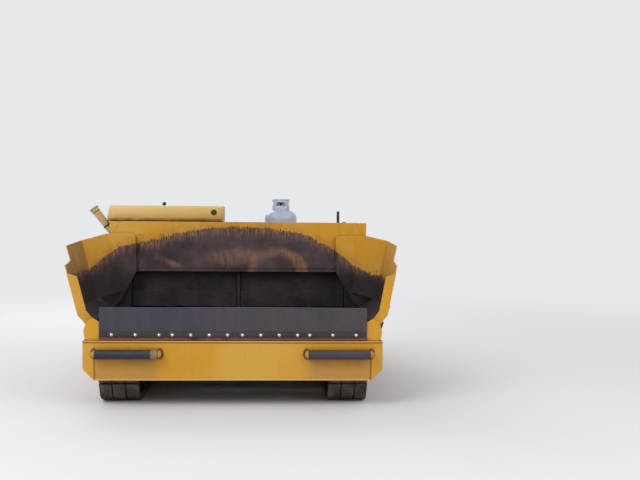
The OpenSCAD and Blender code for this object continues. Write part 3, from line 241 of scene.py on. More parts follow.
class Look:
    """A material, with the colour and the roughness that are laid on it, and short names for its nodes."""

    def __init__(self, name, **sockets):
        self.material = bpy.data.materials.new(name)
        self.material.use_nodes = True
        self.tree = self.material.node_tree
        self.shader = self.tree.nodes["Principled BSDF"]
        for key, value in sockets.items():
            self.shader.inputs[key.replace("_", " ")].default_value = value
        self.place = add_node(self.tree, "TexCoord").outputs["Object"]
        self.geometry = add_node(self.tree, "NewGeometry").outputs
        self.x, self.y, self.z = self.split(self.place)
        self.nx, self.ny, self.nz = self.split(self.geometry["Normal"])
        self.base = self.rough = self.rounded = None
        self.heights = []

    def split(self, vector):
        return [Field(self, part) for part in add_node(self.tree, "SeparateXYZ", {0: vector}).outputs]

    def field(self, kind, inputs, output=0, **settings):
        return Field(self, add_node(self.tree, kind, inputs, **settings).outputs[output])

    def math(self, operation, a, b=0.0):
        return self.field("Math", {0: a, 1: b}, operation=operation)

    def reach(self, a, b):
        """The length of the way (a, b)."""
        return self.math("SQRT", a * a + b * b)

    def noise(self, scale, detail=4, rough=0.55, stretch=None, distortion=0.0):
        place = self.place
        if stretch:
            place = add_node(self.tree, "Mapping", {"Vector": place, "Scale": stretch}).outputs[0]
        return self.field("TexNoise", {"Vector": place, "Scale": scale, "Detail": detail, "Roughness": rough,
                                       "Distortion": distortion})

    def cells(self, scale):
        """The distance from the middles of small cells."""
        return self.field("TexVoronoi", {"Vector": self.place, "Scale": scale}, "Distance")

    def mix(self, amount, a, b):
        return add_node(self.tree, "Mix", {0: amount, 6: a, 7: b}, data_type="RGBA").outputs[2]

    def mottle(self, grain, turn, a, b):
        """Patches of two tones: the grain of their noise, and the two levels between which it turns."""
        return self.mix(self.noise(*grain).step(*turn), a, b)

    def coat(self, amount, colour):
        """Lays a colour over what is there."""
        self.base = self.mix(amount, self.base, colour)

    def keep_to(self, where, base, rough):
        """Keeps what is there to one place, with another colour and roughness outside it."""
        self.base = self.mix(where, base, self.base)
        self.rough = rough * ~where + self.rough * where

    def worn_edges(self, radius=0.006):
        """1 near sharp edges, 0 on flat faces."""
        self.rounded = add_node(self.tree, "Bevel", {"Radius": radius}, samples=4).outputs[0]
        along = {0: self.rounded, 1: self.geometry["True Normal"]}
        return self.field("VectorMath", along, "Value", operation="DOT_PRODUCT").step(0.995, 0.90)

    def crevices(self, reach):
        """Ambient occlusion: 1 deep in a corner, 0 on open faces. Looks use it to paint shade into corners.
        """
        return self.field("AmbientOcclusion", {"Distance": reach}, "AO", samples=6).step(0.80, 0.42)

    def raise_by(self, height, metres):
        self.heights.append((height, metres))

    def finish(self, metallic=None):
        put(self.base, self.shader.inputs["Base Color"])
        put(self.rough, self.shader.inputs["Roughness"])
        if metallic:
            put(metallic, self.shader.inputs["Metallic"])
        normal = self.rounded
        for height, metres in self.heights:
            bump = add_node(self.tree, "Bump", {"Distance": metres, "Height": height})
            if normal:
                put(normal, bump.inputs["Normal"])
            normal = bump.outputs[0]
        if normal:
            put(normal, self.shader.inputs["Normal"])
        return self.material


def painted(name, colour, faded, mud_top=0.0, wear=1.0, dust=0.50, residue=None):
    """Machine paint: faded patches, grime that ran down, dust on top, chips at the edges, mud low down, and
    painted shade with brown dirt in its corners.
    """
    look = Look(name, Specular_IOR_Level=0.28)
    look.base = look.mottle(*FADING, colour, faded)
    runs = look.noise(1.0, 5, 0.65, stretch=(19, 19, 1.3), distortion=0.4)
    cloud = look.noise(2.3, 4, 0.6)
    grime = runs.step(0.46, 0.76) * cloud.step(0.36, 0.70)
    look.coat(grime * (0.42 * wear), (0.30 * colour[0], 0.085, 0.028))
    look.coat(look.noise(90, 3, 0.6).step(0.60, 0.72) * (0.22 * wear), MUD)
    dusty = look.nz.step(0.35, 0.95) * look.noise(7, 5, 0.6).step(0.30, 0.62)
    look.coat(dusty * dust, DUST)
    chipped = look.worn_edges() * look.noise(46, 4, 0.65).step(0.50, 0.60)
    flaked = look.noise(21, 5, 0.7).step(0.685, 0.705) * cloud.step(0.45, 0.60)
    chips = (chipped | flaked) * (0.85 * wear)
    look.coat(chips, look.mottle((60, 2), (0.45, 0.6), RUST, (0.075, 0.055, 0.045)))
    look.rough = look.noise(12, 4, 0.6) * 0.22 + 0.30 + dusty * 0.25 + chips * 0.25
    if mud_top:
        splash = (look.noise(4, 6, 0.7) - 0.5) * 0.50 + mud_top - look.z
        muddy = splash.step(0.0, 0.40) * look.noise(3.4, 8, 0.72).step(0.36, 0.66)
        look.coat(muddy * 0.60, MUD)
        thrown = splash.step(0.0, 0.25) * look.noise(30, 5, 0.7).step(0.58, 0.72)
        look.coat(thrown * 0.45, times(0.6, MUD))
        look.rough += (muddy | thrown) * 0.30
    look.raise_by(look.noise(260, 2, 0.5), 0.00025)
    look.raise_by(look.noise(5.5, 2, 0.5), 0.004)
    # Painted shade with brown dirt in the corners, from ambient occlusion broken up by noise
    corners = look.crevices(0.05) * look.noise(11, 5, 0.65).step(0.20, 0.60)
    look.coat(corners * 0.75, (0.115, 0.055, 0.028))
    if residue:
        residue(look)
    return look.finish()


# The upper edge of the asphalt that sticks to the hopper: (x, height)
RESIDUE_EDGE = [
    (-1.50, 1.020), (-1.345, 1.070), (-1.295, 1.112), (-1.236, 1.165), (-1.154, 1.226), (-1.09, 1.266),
    (-0.98, 1.295), (-0.83, 1.320), (-0.50, 1.402), (-0.13, 1.447), (0.22, 1.449), (0.575, 1.400),
    (0.72, 1.336), (1.00, 1.170), (1.20, 1.045), (1.50, 1.00),
]
# Asphalt sticks behind this plane, where the hopper opens to the front
HOPPER_MOUTH = -1.78


def stuck_asphalt(look, where, level=0.0, shade=None):
    """Asphalt with a ragged arched top edge, raised by a level. A shade from 0 to 1 darkens it towards
    TAR_SHADE as painted shade. It stands out only at a place; the caller keeps its colour to that place."""
    top = look.x.curve(-1.5, 1.5, RESIDUE_EDGE)
    drips = look.noise(1.0, 4, 0.65, stretch=(150, 40, 7))
    lumps = look.noise(5.5, 4, 0.6)
    below = top + level + (drips - 0.5) * 0.115 + (lumps - 0.5) * 0.075 - look.z
    nicks = below.step(0.080, 0.015) * look.noise(1, 3, 0.6, stretch=(64, 30, 15)).step(0.60, 0.68)
    covered = below.step(0.0, 0.014) * ~(nicks * 0.85)
    spatter = look.cells(64).step(0.28, 0.20) * below.step(-0.12, -0.01) * look.noise(14, 2).step(0.50, 0.62)
    stain = below.step(-0.10, 0.0) * look.noise(9, 4, 0.6).step(0.25, 0.70)
    look.coat(stain * 0.45, (0.270, 0.110, 0.035))
    tone = look.mottle((4.2, 5, 0.6), (0.32, 0.70), TAR_GREY, TAR)
    brown = look.noise(3.5, 4, 0.6, stretch=(1, 1, 0.55)).step(0.50, 0.72)
    tone = look.mix(brown * 0.40, tone, TAR_BROWN)
    fringe = below.step(0.12, 0.01) * look.noise(1, 4, 0.6, stretch=(55, 20, 6)).step(0.36, 0.62)
    tone = look.mix(fringe * 0.85, tone, (0.235, 0.115, 0.075))
    tone = look.mix(look.noise(120, 3, 0.7).step(0.54, 0.72) * 0.22, tone, (0.125, 0.095, 0.092))
    # Painted shade: darker towards TAR_SHADE where the caller's shade is high
    if shade:
        tone = look.mix(shade, tone, TAR_SHADE)
    amount = covered | spatter
    look.coat(amount, tone)
    look.rough = look.rough * ~amount + amount * (lumps * 0.35 + 0.55)
    thick = amount * where
    look.raise_by(thick * look.noise(75, 4, 0.65), 0.004)
    look.raise_by(thick * look.cells(26).step(0.0, 0.45), 0.0015)


# The scraped places of the rear wall, in metres across the machine and above the ground
BAND_X, BAND_Z = (-0.36, 0.66), 1.172
ARCH_MIDDLE, ARCH_RADIUS = (0.358, 0.985), 0.245
STREAK_X, STREAK_SLOPE, STREAK_HEIGHT = (-0.85, -0.52), 0.40, 0.862
# Above this height the wall is lit, below it the recess of the gates lies in shade
WALL_SHADE = (1.02, 0.98)


def scraped_wall(look):
    """The rear wall: stuck asphalt, with a scraped band, an arch and a streak where it shows brown."""
    clean = look.base, look.rough
    front = look.ny.step(0.5, 0.1) * abs(look.x).step(1.2185, 1.2165)
    stuck_asphalt(look, front, shade=look.z.step(*WALL_SHADE) * 0.9)
    ragged = (look.noise(9, 6, 0.7) - 0.5) * 0.20
    across = look.x.step(BAND_X[0], BAND_X[0] + 0.20) * look.x.step(BAND_X[1], BAND_X[1] - 0.25)
    band = across * abs(look.z - BAND_Z + ragged).step(0.095, 0.010)
    distance = look.reach(look.x - ARCH_MIDDLE[0], look.z - ARCH_MIDDLE[1])
    arch = abs(distance - ARCH_RADIUS + ragged * 0.35) - look.x.step(0.42, 0.58) * 0.022
    arch = arch.step(0.060, 0.005) * (look.x.step(0.30, 0.55) * 0.45 + 0.55)
    inside = (distance + ragged * 0.3).step(ARCH_RADIUS - 0.01, ARCH_RADIUS - 0.07)
    along = look.x * STREAK_SLOPE + look.z - STREAK_HEIGHT
    streak = abs(along + ragged * 0.35).step(0.044, 0.004)
    streak *= look.x.step(STREAK_X[0], -0.58) * look.x.step(STREAK_X[1], -0.56)
    rubs = look.noise(1.0, 5, 0.7, stretch=(34, 10, 5)).step(0.34, 0.62)
    patch = ((band * ~inside * 0.75) | (arch * 1.05) | (streak * 0.75)) * (rubs * 0.72 + 0.28)
    look.coat(patch, look.mottle((5, 3, 0.6), (0.35, 0.70), (0.210, 0.100, 0.062), (0.330, 0.165, 0.085)))
    look.keep_to(front, *clean)


def wing_film(look):
    """A wing: stuck asphalt on its rear plate and, under a dirty film, on its inner side. The lip down its
    front edge and its outside stay yellow."""
    inner = (look.nx * look.math("SIGN", look.x)).step(0.02, -0.10)
    plate = look.ny.step(-0.25, -0.55)
    foot = abs(look.x).step(1.180, 1.170) * look.z.step(0.76, 0.72)
    inside = (inner | plate | foot) * look.y.step(HOPPER_MOUTH + 0.004, HOPPER_MOUTH + 0.015)
    left = look.x.step(0.2, -0.2)
    streaks = look.noise(1, 5, 0.6, stretch=(9, 9, 2.2)).step(0.22, 0.66)
    film = (streaks * 0.40 + 0.50) * (inner - plate) * (left * 0.38 + 0.34)
    filmed = look.mix(film, look.base, (0.165, 0.105, 0.110))
    lip = look.ny.step(-0.5, -0.9) * look.y.step(HOPPER_MOUTH + 0.02, HOPPER_MOUTH)
    look.coat(lip, look.mottle(*FADING, YELLOW, YELLOW_FADED))
    # Darker over the whole left lip, and in patches on both lips
    lip_darkening = left * 0.16 + look.noise(3.0, 5, 0.7).step(0.45, 0.70) * 0.22
    look.coat(lip * lip_darkening, (0.240, 0.120, 0.040))
    clean = look.base, look.rough
    look.base = filmed
    # Painted shade makes the asphalt darker lower down the wing
    stuck_asphalt(look, inside, shade=look.z.step(1.12, 0.95) * 0.72)
    look.keep_to(inside, *clean)


def floor_film(look):
    """The hopper's floor and sills: black asphalt with painted shade above and round the wings' lugs, yellow
    at the sides.
    """
    side = abs(look.x)
    up = look.nz.step(0.25, 0.6)
    back = look.ny.step(-0.5, -0.9) * look.y.step(HOPPER_MOUTH - 0.01, HOPPER_MOUTH)
    behind = look.y.step(HOPPER_MOUTH, HOPPER_MOUTH + 0.01)
    top = up * side.step(1.202, 1.190) * look.z.step(0.625, 0.635) * behind
    lugs = side.step(1.176, 1.166) * look.z.step(0.60, 0.62) * behind
    inside = ((up | back) * side.step(1.20, 1.12)) | top | lugs
    clean = look.base, look.rough
    # Painted shade darkens all of this asphalt
    stuck_asphalt(look, inside, level=0.3, shade=0.35)
    look.keep_to(inside, *clean)


def screed_marks(look):
    """The screed: asphalt stuck along its foot and over the face that meets the augers."""
    foot = look.noise(5, 6, 0.7) * 0.13 + 0.095
    front = look.ny.step(-0.4, -0.8) * look.noise(2.5, 5, 0.65).step(0.25, 0.45)
    stuck = (foot - look.z).step(0.0, 0.025) | front
    look.raise_by(stuck * look.noise(75, 4, 0.65), 0.003)
    look.coat(stuck * 0.90, look.mottle((7, 5, 0.6), (0.35, 0.65), TAR_GREY, TAR))
    look.rough += stuck * 0.25


# Half the width of the tunnel that the asphalt passes through, between the frame's sides
TUNNEL_HALF = 0.695


def frame_film(look):
    """The main frame: black with asphalt and painted shade inside the tunnel, yellow outside."""
    inside = abs(look.x).step(TUNNEL_HALF + 0.004, TUNNEL_HALF) * look.z.step(0.25, 0.30)
    inside *= look.y.step(HOPPER_MOUTH, HOPPER_MOUTH + 0.01)
    # A mottle of asphalt and asphalt in painted shade inside the tunnel
    look.coat(inside, look.mottle((5, 4), (0.35, 0.65), TAR_SHADE, TAR))
    look.rough += inside * 0.15


def roller_ends(look):
    """The push rollers: the left one a little darker, with a bare brown collar at its inner end."""
    left = look.x.step(0.1, -0.1)
    look.coat(~left * 0.40, (0.085, 0.064, 0.070))
    rubbed = look.noise(30, 4, 0.6).step(0.35, 0.60) * 0.5 + 0.5
    look.coat(look.x.step(-0.668, -0.660) * left * rubbed, (0.230, 0.165, 0.095))


# The bumper: its height, the ears of its rollers and the painted shade round them, and the bend at each side
BUMPER_LOW, BUMPER_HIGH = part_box("front_bumper")
EAR_X, EAR_Z = (0.594, 1.126), 0.440
EAR_SHADE = (0.024, 0.040)
BEND_X = 1.122


def bumper_marks(look):
    """Rust in the bends, painted shadow in the groove under the top flange, painted shade round the ears, a
    brown wash with painted shadow under each roller and a painted highlight along the upper and the lower
    edge."""
    side = abs(look.x)
    front = look.ny.step(-0.6, -0.9)
    wander = (look.noise(9, 4, 0.6) - 0.5) * 0.012
    bend = abs(side - BEND_X + wander).step(0.012, 0.004)
    look.coat(bend * front * (look.z.step(0.43, 0.38) * 0.50 + 0.16), (0.150, 0.045, 0.020))
    under = look.z.step(0.43, 0.39) * look.z.step(0.20, 0.25)
    under *= side.step(0.545, 0.680) * side.step(BEND_X, BEND_X - 0.01)
    # A brown wash with painted shadow under each roller, fading downwards
    wash_and_shadow = under * (look.noise(3, 4, 0.6).step(0.30, 0.70) * 0.22 + 0.26)
    look.coat(wash_and_shadow, (0.300, 0.150, 0.070))
    smear = under * look.noise(1, 4, 0.6, stretch=(24, 5, 3.5)).step(0.54, 0.72)
    smear *= look.x.step(0.1, 0.3) * look.z.step(0.27, 0.38)
    look.coat(smear * 0.55, (0.170, 0.080, 0.060))
    for ear in EAR_X:
        # Painted shade round each ear, where it meets the bumper
        ring = look.reach((side - ear) * (1 / EAR_SHADE[0]), (look.z - EAR_Z) * (1 / EAR_SHADE[1]))
        ring = ring.step(1.35, 1.05) * look.y.step(-1.862, -1.852) * front
        look.coat(ring * 0.80, (0.060, 0.025, 0.014))
    low, high = BUMPER_LOW.z, BUMPER_HIGH.z
    # A red-brown painted shadow line in the groove under the top flange
    groove_shadow = front * abs(look.z - (high - 0.014)).step(0.009, 0.004)
    look.coat(groove_shadow * 0.80, (0.225, 0.078, 0.024))
    # A painted highlight along the upper and the lower edge
    painted_highlight = look.z.step(high - 0.006, high - 0.003) | look.z.step(low + 0.013, low + 0.008)
    look.coat(painted_highlight * front * 0.55, (0.700, 0.440, 0.190))
    look.rough += wash_and_shadow * 0.3


def bare_metal(name, colour, roughness=0.45, rust=0.5, scale=1.0):
    look = Look(name)
    brushed = look.noise(1, 5, 0.6, stretch=(14 * scale, 120 * scale, 14 * scale))
    look.base = look.mix(brushed.step(0.3, 0.7), colour, times(0.62, colour))
    spots = look.noise(24 * scale, 5, 0.65).step(0.48, 0.66) * rust
    look.coat(spots, RUST)
    look.worn_edges(0.003)
    look.rough = look.noise(30, 4, 0.6) * 0.25 + (roughness - 0.1) + spots * 0.3
    look.raise_by(look.noise(180 * scale, 3, 0.6), 0.0004)
    return look.finish(look.math("SUBTRACT", 0.9, spots * 0.8))


def dark_painted(name, colour, wear=0.6, dust=0.45, marks=None):
    look = Look(name, Specular_IOR_Level=0.35)
    look.base = look.mottle((6, 4, 0.6), (0.35, 0.7), colour, times(1.7, colour))
    chips = look.worn_edges(0.004) * look.noise(52, 4, 0.7).step(0.46, 0.6) * wear
    look.coat(chips, BARE_STEEL)
    dusty = look.nz.step(0.3, 0.95) * look.noise(10, 5, 0.6).step(0.3, 0.65)
    look.coat(dusty * dust, DUST)
    look.rough = look.noise(15, 4, 0.6) * 0.3 + 0.36 + dusty * 0.2
    look.raise_by(look.noise(220, 2, 0.5), 0.0003)
    if marks:
        marks(look)
    return look.finish(chips * 0.8)


def asphalt_black():
    """A wall inside the hopper that is black with asphalt all over, darkened further by painted shade of the
    recess.
    """
    look = Look("asphalt_black", Specular_IOR_Level=0.25)
    look.base = look.mottle((4.2, 5, 0.6), (0.35, 0.68), (0.030, 0.021, 0.025), TAR_SHADE)
    look.coat(look.noise(6, 4, 0.6).step(0.52, 0.72) * 0.35, (0.060, 0.034, 0.026))
    look.coat(look.worn_edges(0.005) * look.noise(20, 3).step(0.42, 0.6) * 0.35, (0.10, 0.08, 0.075))
    look.raise_by(look.noise(75, 4, 0.65), 0.003)
    look.raise_by(look.cells(26).step(0.0, 0.45), 0.0012)
    look.rough = look.noise(20, 4) * 0.35 + 0.4
    return look.finish()


def rubber(name, colour, dust=0.3, grain=0.0006):
    look = Look(name, Specular_IOR_Level=0.35)
    look.base = look.mottle((3.5, 4, 0.6), (0.35, 0.7), colour, times(1.45, colour))
    look.coat(look.noise(1.0, 5, 0.6, stretch=(26, 26, 1.4)).step(0.5, 0.72) * 0.35, times(0.55, colour))
    look.coat(look.noise(16, 5, 0.7).step(0.52, 0.72) * dust, DUST)
    look.coat(look.worn_edges(0.005) * 0.35, times(2.2, colour))
    look.raise_by(look.noise(240, 3, 0.6), grain)
    look.rough = look.noise(22, 4) * 0.25 + 0.58
    return look.finish()


def flap_rubber():
    """The flap: an even grey with faint upright streaks, browner at its right end and along its foot."""
    look = Look("flap_rubber", Specular_IOR_Level=0.30)
    look.base = look.mix(look.x.step(-0.6, 0.9), (0.047, 0.043, 0.058), (0.062, 0.051, 0.056))
    streaks = look.noise(1.0, 4, 0.6, stretch=(11, 11, 0.8))
    look.coat(streaks.step(0.42, 0.72) * 0.35, (0.078, 0.068, 0.074))
    look.coat(look.noise(2.2, 4, 0.6).step(0.50, 0.70) * 0.45, (0.036, 0.031, 0.040))
    look.coat((look.z - look.noise(8, 3) * 0.02).step(0.622, 0.598) * 0.65, (0.034, 0.022, 0.025))
    rust = look.z.step(0.571, 0.560) * look.noise(1, 3, 0.6, stretch=(9, 1, 1)).step(0.25, 0.5)
    look.coat(rust * 0.8, (0.210, 0.085, 0.036))
    look.coat(look.worn_edges(0.004) * 0.30, (0.110, 0.100, 0.105))
    look.raise_by(look.noise(240, 3, 0.6), 0.0005)
    look.raise_by(streaks, 0.002)
    look.rough = look.noise(22, 4) * 0.20 + 0.62
    return look.finish()


def track_rubber():
    """Rubber of a track: nearly black, with dried mud between the pads and scuffed pads."""
    look = Look("track_rubber", Specular_IOR_Level=0.3)
    look.base = look.mottle((12, 4, 0.6), (0.35, 0.7), (0.030, 0.026, 0.025), (0.062, 0.054, 0.050))
    look.coat(look.noise(8, 6, 0.7).step(0.42, 0.62) * 0.55, (0.155, 0.115, 0.080))
    look.coat(look.worn_edges(0.006) * look.noise(30, 3).step(0.4, 0.6) * 0.6, (0.24, 0.19, 0.14))
    look.raise_by(look.noise(60, 5, 0.7), 0.003)
    look.rough = look.noise(25, 4) * 0.15 + 0.76
    return look.finish()


def gas_white():
    look = Look("gas_white")
    look.base = look.mottle((6, 4, 0.6), (0.4, 0.75), (0.400, 0.455, 0.560), (0.300, 0.340, 0.410))
    look.coat(look.noise(38, 4, 0.7).step(0.60, 0.68) * look.noise(5, 2).step(0.45, 0.6) * 0.25, RUST)
    look.coat(look.worn_edges(0.003) * look.noise(60, 3).step(0.5, 0.6) * 0.8, (0.20, 0.11, 0.07))
    # Painted shade in the corners and inside the collar, from ambient occlusion broken up by noise
    look.coat(look.crevices(0.12) * look.noise(14, 4, 0.6).step(0.20, 0.60) * 0.70, (0.090, 0.075, 0.065))
    look.raise_by(look.noise(9, 2), 0.002)
    look.rough = look.noise(18, 4) * 0.25 + 0.26
    return look.finish()


def vinyl():
    look = Look("seat_vinyl", Specular_IOR_Level=0.5)
    look.base = look.mottle((9, 4, 0.6), (0.4, 0.7), (0.022, 0.022, 0.025), (0.045, 0.044, 0.046))
    look.coat(look.noise(14, 5, 0.65).step(0.45, 0.72) * look.nz.step(0.1, 0.9) * 0.40, DUST)
    look.raise_by(look.cells(520), 0.0006)
    look.raise_by(look.noise(30, 3, 0.6), 0.0015)
    look.rough = look.noise(20, 4) * 0.25 + 0.36
    return look.finish()


def engine_iron():
    look = Look("engine_iron")
    look.base = look.mottle((7, 5, 0.6), (0.4, 0.7), (0.075, 0.080, 0.085), (0.040, 0.036, 0.033))
    look.raise_by(look.noise(60, 4, 0.6), 0.002)
    look.rough = look.noise(18, 4) * 0.35 + 0.38
    return look.finish()


def plated():
    look = Look("plated", Metallic=1.0)
    look.base = look.mottle((30, 4), (0.55, 0.72), (0.72, 0.73, 0.75), (0.40, 0.37, 0.34))
    look.rough = look.noise(60, 3) * 0.14 + 0.06
    return look.finish()


def plain(name, colour, roughness=0.5, metallic=0.0, grain=70, depth=0.0005):
    """Small trim: one tone with a fine mottle."""
    look = Look(name, Metallic=metallic)
    look.base = look.mottle((grain * 0.4, 4, 0.6), (0.35, 0.7), colour, times(0.72, colour))
    look.raise_by(look.noise(grain * 3, 3, 0.6), depth)
    look.rough = look.noise(grain * 0.3, 3) * 0.2 + (roughness - 0.08)
    return look.finish()


LOOKS = {
    "paint": painted("paint", YELLOW, YELLOW_FADED),
    "bumper": painted("bumper", (0.560, 0.268, 0.014), (0.590, 0.318, 0.046), wear=0.45,
                      residue=bumper_marks),
    "low": painted("low_paint", YELLOW, YELLOW_FADED, mud_top=0.45, wear=1.2),
    "frame": painted("frame_paint", YELLOW, YELLOW_FADED, mud_top=0.45, wear=1.2, residue=frame_film),
    "screed": painted("screed_paint", YELLOW, YELLOW_FADED, mud_top=0.30, wear=1.2, residue=screed_marks),
    "filler": painted("filler_paint", (0.480, 0.285, 0.095), (0.520, 0.360, 0.190), wear=0.8),
    "wall": painted("wall_paint", YELLOW, YELLOW_FADED, residue=scraped_wall, wear=0.7),
    "wing": painted("wing_paint", YELLOW, YELLOW_FADED, residue=wing_film, wear=0.8),
    "floor": painted("floor_paint", YELLOW, YELLOW_FADED, residue=floor_film),
    "hood": painted("hood_paint", (0.700, 0.452, 0.135), (0.715, 0.500, 0.190), wear=0.15, dust=0.20),
    "dark": dark_painted("dark_paint", (0.030, 0.030, 0.034)),
    "roller": dark_painted("roller_paint", (0.017, 0.017, 0.024), wear=0.9, dust=0.06, marks=roller_ends),
    "asphalt": asphalt_black(),
    "steel": bare_metal("worn_steel", BARE_STEEL),
    "chain": bare_metal("chain_steel", (0.16, 0.135, 0.12), 0.5, 0.6),
    "bolt": bare_metal("bright_bolt", (0.88, 0.87, 0.85), 0.34, 0.04, 3),
    "grate": bare_metal("grate_steel", (0.25, 0.22, 0.20), 0.5, 0.7),
    "flap": flap_rubber(),
    "strap": rubber("strap_rubber", (0.034, 0.025, 0.028), dust=0.06),
    "track": track_rubber(),
    "gas": gas_white(),
    "vinyl": vinyl(),
    "engine": engine_iron(),
    "plated": plated(),
    "black": plain("black_plastic", (0.022, 0.022, 0.024), 0.42),
    "red": plain("red_plastic", (0.42, 0.030, 0.020), 0.35),
    "white": plain("white_plastic", (0.72, 0.72, 0.70), 0.4),
    "brass": plain("brass", (0.55, 0.38, 0.14), 0.3, 1.0),
    "cap": plain("cap_metal", (0.33, 0.325, 0.31), 0.55, 0.25),
    "weld": painted("weld_paint", times(0.93, YELLOW), YELLOW_FADED),
    "tread": painted("tread_paint", YELLOW, YELLOW_FADED, wear=1.4),
    "rubber_black": rubber("rubber_black", (0.016, 0.015, 0.016), dust=0.18, grain=0.0003),
    "brown_steel": bare_metal("brown_steel", (0.16, 0.11, 0.08), 0.45, 0.5, 3),
    "bolt_dull": bare_metal("dull_bolt", (0.30, 0.28, 0.26), 0.42, 0.45, 3),
    "pin_dark": bare_metal("pin_steel", (0.14, 0.12, 0.11), 0.45, 0.4, 3),
    "knob": plain("knob_plastic", (0.012, 0.012, 0.013), 0.25, 0.0, 60, 0.0002),
    "dial": plain("dial_face", (0.030, 0.031, 0.034), 0.30),
    "amber": plain("amber_lamp", (0.60, 0.20, 0.02), 0.20),
    "oil_glass": plain("oil_glass", (0.42, 0.26, 0.08), 0.08),
}

# The finish of each solid that stays in view. A star stands for left and right
NODE_LOOKS = {
    "frame": "main_frame", "asphalt": "tunnel_housing gate_*", "bumper": "front_bumper",
    "floor": "hopper_floor", "wall": "rear_wall", "chain": "conveyor_*", "engine": "engine_block",
    "filler": "filler_neck",
    "paint": "engine_cowl oil_tank operator_deck screed_arms", "low": "track_frame_* auger_drive",
    "track": "track_*", "dark": "radiator seat_frames track_wheels_* wing_barrel_* lift_barrel_*",
    "steel": "auger_left auger_right", "roller": "push_roller_*", "wing": "wing_left wing_right",
    "plated": "wing_rod_* lift_rod_*", "screed": "screed_body extension_*",
}

# The slot of a piece, from its look
SLOTS = {look: slot for slot, looks in {
    "yellow_paint": "paint hood weld tread screed",
    "dark_paint": "dark black red dial knob amber oil_glass rubber_black strap asphalt",
    "worn_steel": "bolt bolt_dull pin_dark brown_steel brass cap steel grate",
    "bottle_paint": "gas white",
    "flap_rubber": "flap",
    "seat_vinyl": "vinyl",
}.items() for look in looks.split()}


def dress_nodes():
    for look, names in NODE_LOOKS.items():
        for name in names.split():
            for side in SIDES if "*" in name else ("",):
                mesh = nodes[name.replace("*", side)].data
                mesh.materials.clear()
                mesh.materials.append(LOOKS[look])


# Tools for making meshes


def add_piece(name, bm, look, body="chassis", crease=35):
    """Makes an object of a bmesh, dresses it in a look and fastens it to a body."""
    bmesh.ops.recalc_face_normals(bm, faces=bm.faces)
    mesh = bpy.data.meshes.new(name)
    bm.to_mesh(mesh)
    bm.free()
    mesh.shade_smooth()
    mesh.set_sharp_from_angle(angle=math.radians(crease))
    mesh.materials.append(LOOKS[look])
    obj = add_object(name, mesh)
    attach(obj, body)
    return obj


def apply_modifiers(obj):
    graph = bpy.context.evaluated_depsgraph_get()
    made = bpy.data.meshes.new_from_object(obj.evaluated_get(graph))
    made.name = obj.name
    obj.modifiers.clear()
    obj.data = made


def thicken(obj, thickness, offset=-1, rim=0.0):
    """Makes a sheet thick, to one side or to both, and rounds its rim."""
    sheet = obj.modifiers.new("sheet", "SOLIDIFY")
    sheet.thickness, sheet.offset = thickness, offset
    if rim:
        edge = obj.modifiers.new("rim", "BEVEL")
        edge.width, edge.segments, edge.limit_method = rim, 2, "ANGLE"
    apply_modifiers(obj)


def surface_of(name):
    """The surface of a solid or of a piece, for rays."""
    mesh = (nodes[name] if name in nodes else bpy.data.objects[name]).data
    faces = [tuple(p.vertices) for p in mesh.polygons]
    return BVHTree.FromPolygons([v.co.copy() for v in mesh.vertices], faces)


def around(count, radius, start=0.0):
    """Points (a, b) at even steps round a circle, from a part of a step on."""
    angles = (math.tau * (k + start) / count for k in range(count))
    return [(radius * math.cos(a), radius * math.sin(a)) for a in angles]


def turned_to(axis):
    """The turn that brings Z to an axis."""
    return Vector((0, 0, 1)).rotation_difference(Vector(axis)).to_matrix()


def round_edges(bm, edges, bevel, segments):
    if bevel:
        bmesh.ops.bevel(bm, geom=list(edges), offset=bevel, segments=segments, profile=0.5, affect="EDGES")


def box(bm, a, b, bevel=0.0, turn=None):
    """A box between two opposite corners, its edges rounded, turned about its middle."""
    verts = bmesh.ops.create_cube(bm, size=1)["verts"]
    middle = (Vector(a) + Vector(b)) / 2
    reach = [abs(p - q) for p, q in zip(a, b)]
    for v in verts:
        offset = Vector(c * size for c, size in zip(v.co, reach))
        v.co = middle + (turn @ offset if turn else offset)
    round_edges(bm, {e for v in verts for e in v.link_edges}, bevel, 2)


def lathe(bm, profile, centre, axis=(0, 0, 1), steps=32, closed=False):
    """Turns a profile of (radius, height) points round an axis through the centre."""
    turn = turned_to(axis)
    rings = []
    for radius, height in profile:
        spots = around(steps, radius) if radius > 1e-6 else [(0, 0)]
        rings.append([bm.verts.new(Vector(centre) + turn @ Vector((x, y, height))) for x, y in spots])
    for a, b in zip(rings, rings[1:] + rings[:1] if closed else rings[1:]):
        for i in range(steps):
            j = (i + 1) % steps
            corners = list(dict.fromkeys([a[i % len(a)], a[j % len(a)], b[j % len(b)], b[i % len(b)]]))
            if len(corners) > 2:
                bm.faces.new(corners)


def disc(radius, low, high):
    """The profile of a disc."""
    return [(0, low), (radius, low), (radius, high), (0, high)]


def button(radius, height, crown, shoulder):
    """The profile of a disc whose upper edge is cut off, from its shoulder to its smaller crown."""
    return [(0, 0), (radius, 0), (radius, shoulder), (crown, height), (0, height)]


def sleeve(inner, outer, low, high):
    """The profile of a ring."""
    return [(inner, low), (outer, low), (outer, high), (inner, high)]


def prism(bm, outline, axis, low, high, bevel=0.0, segments=2):
    """A flat outline made thick along an axis, 0 for X, 1 for Y or 2 for Z, its edges rounded."""
    rings = [[bm.verts.new((*p[:axis], level, *p[axis:])) for p in outline] for level in (low, high)]
    faces = [bm.faces.new(rings[0]), bm.faces.new(list(reversed(rings[1])))]
    for i in range(len(outline)):
        j = (i + 1) % len(outline)
        faces.append(bm.faces.new((rings[0][i], rings[1][i], rings[1][j], rings[0][j])))
    round_edges(bm, {e for f in faces for e in f.edges}, bevel, segments)


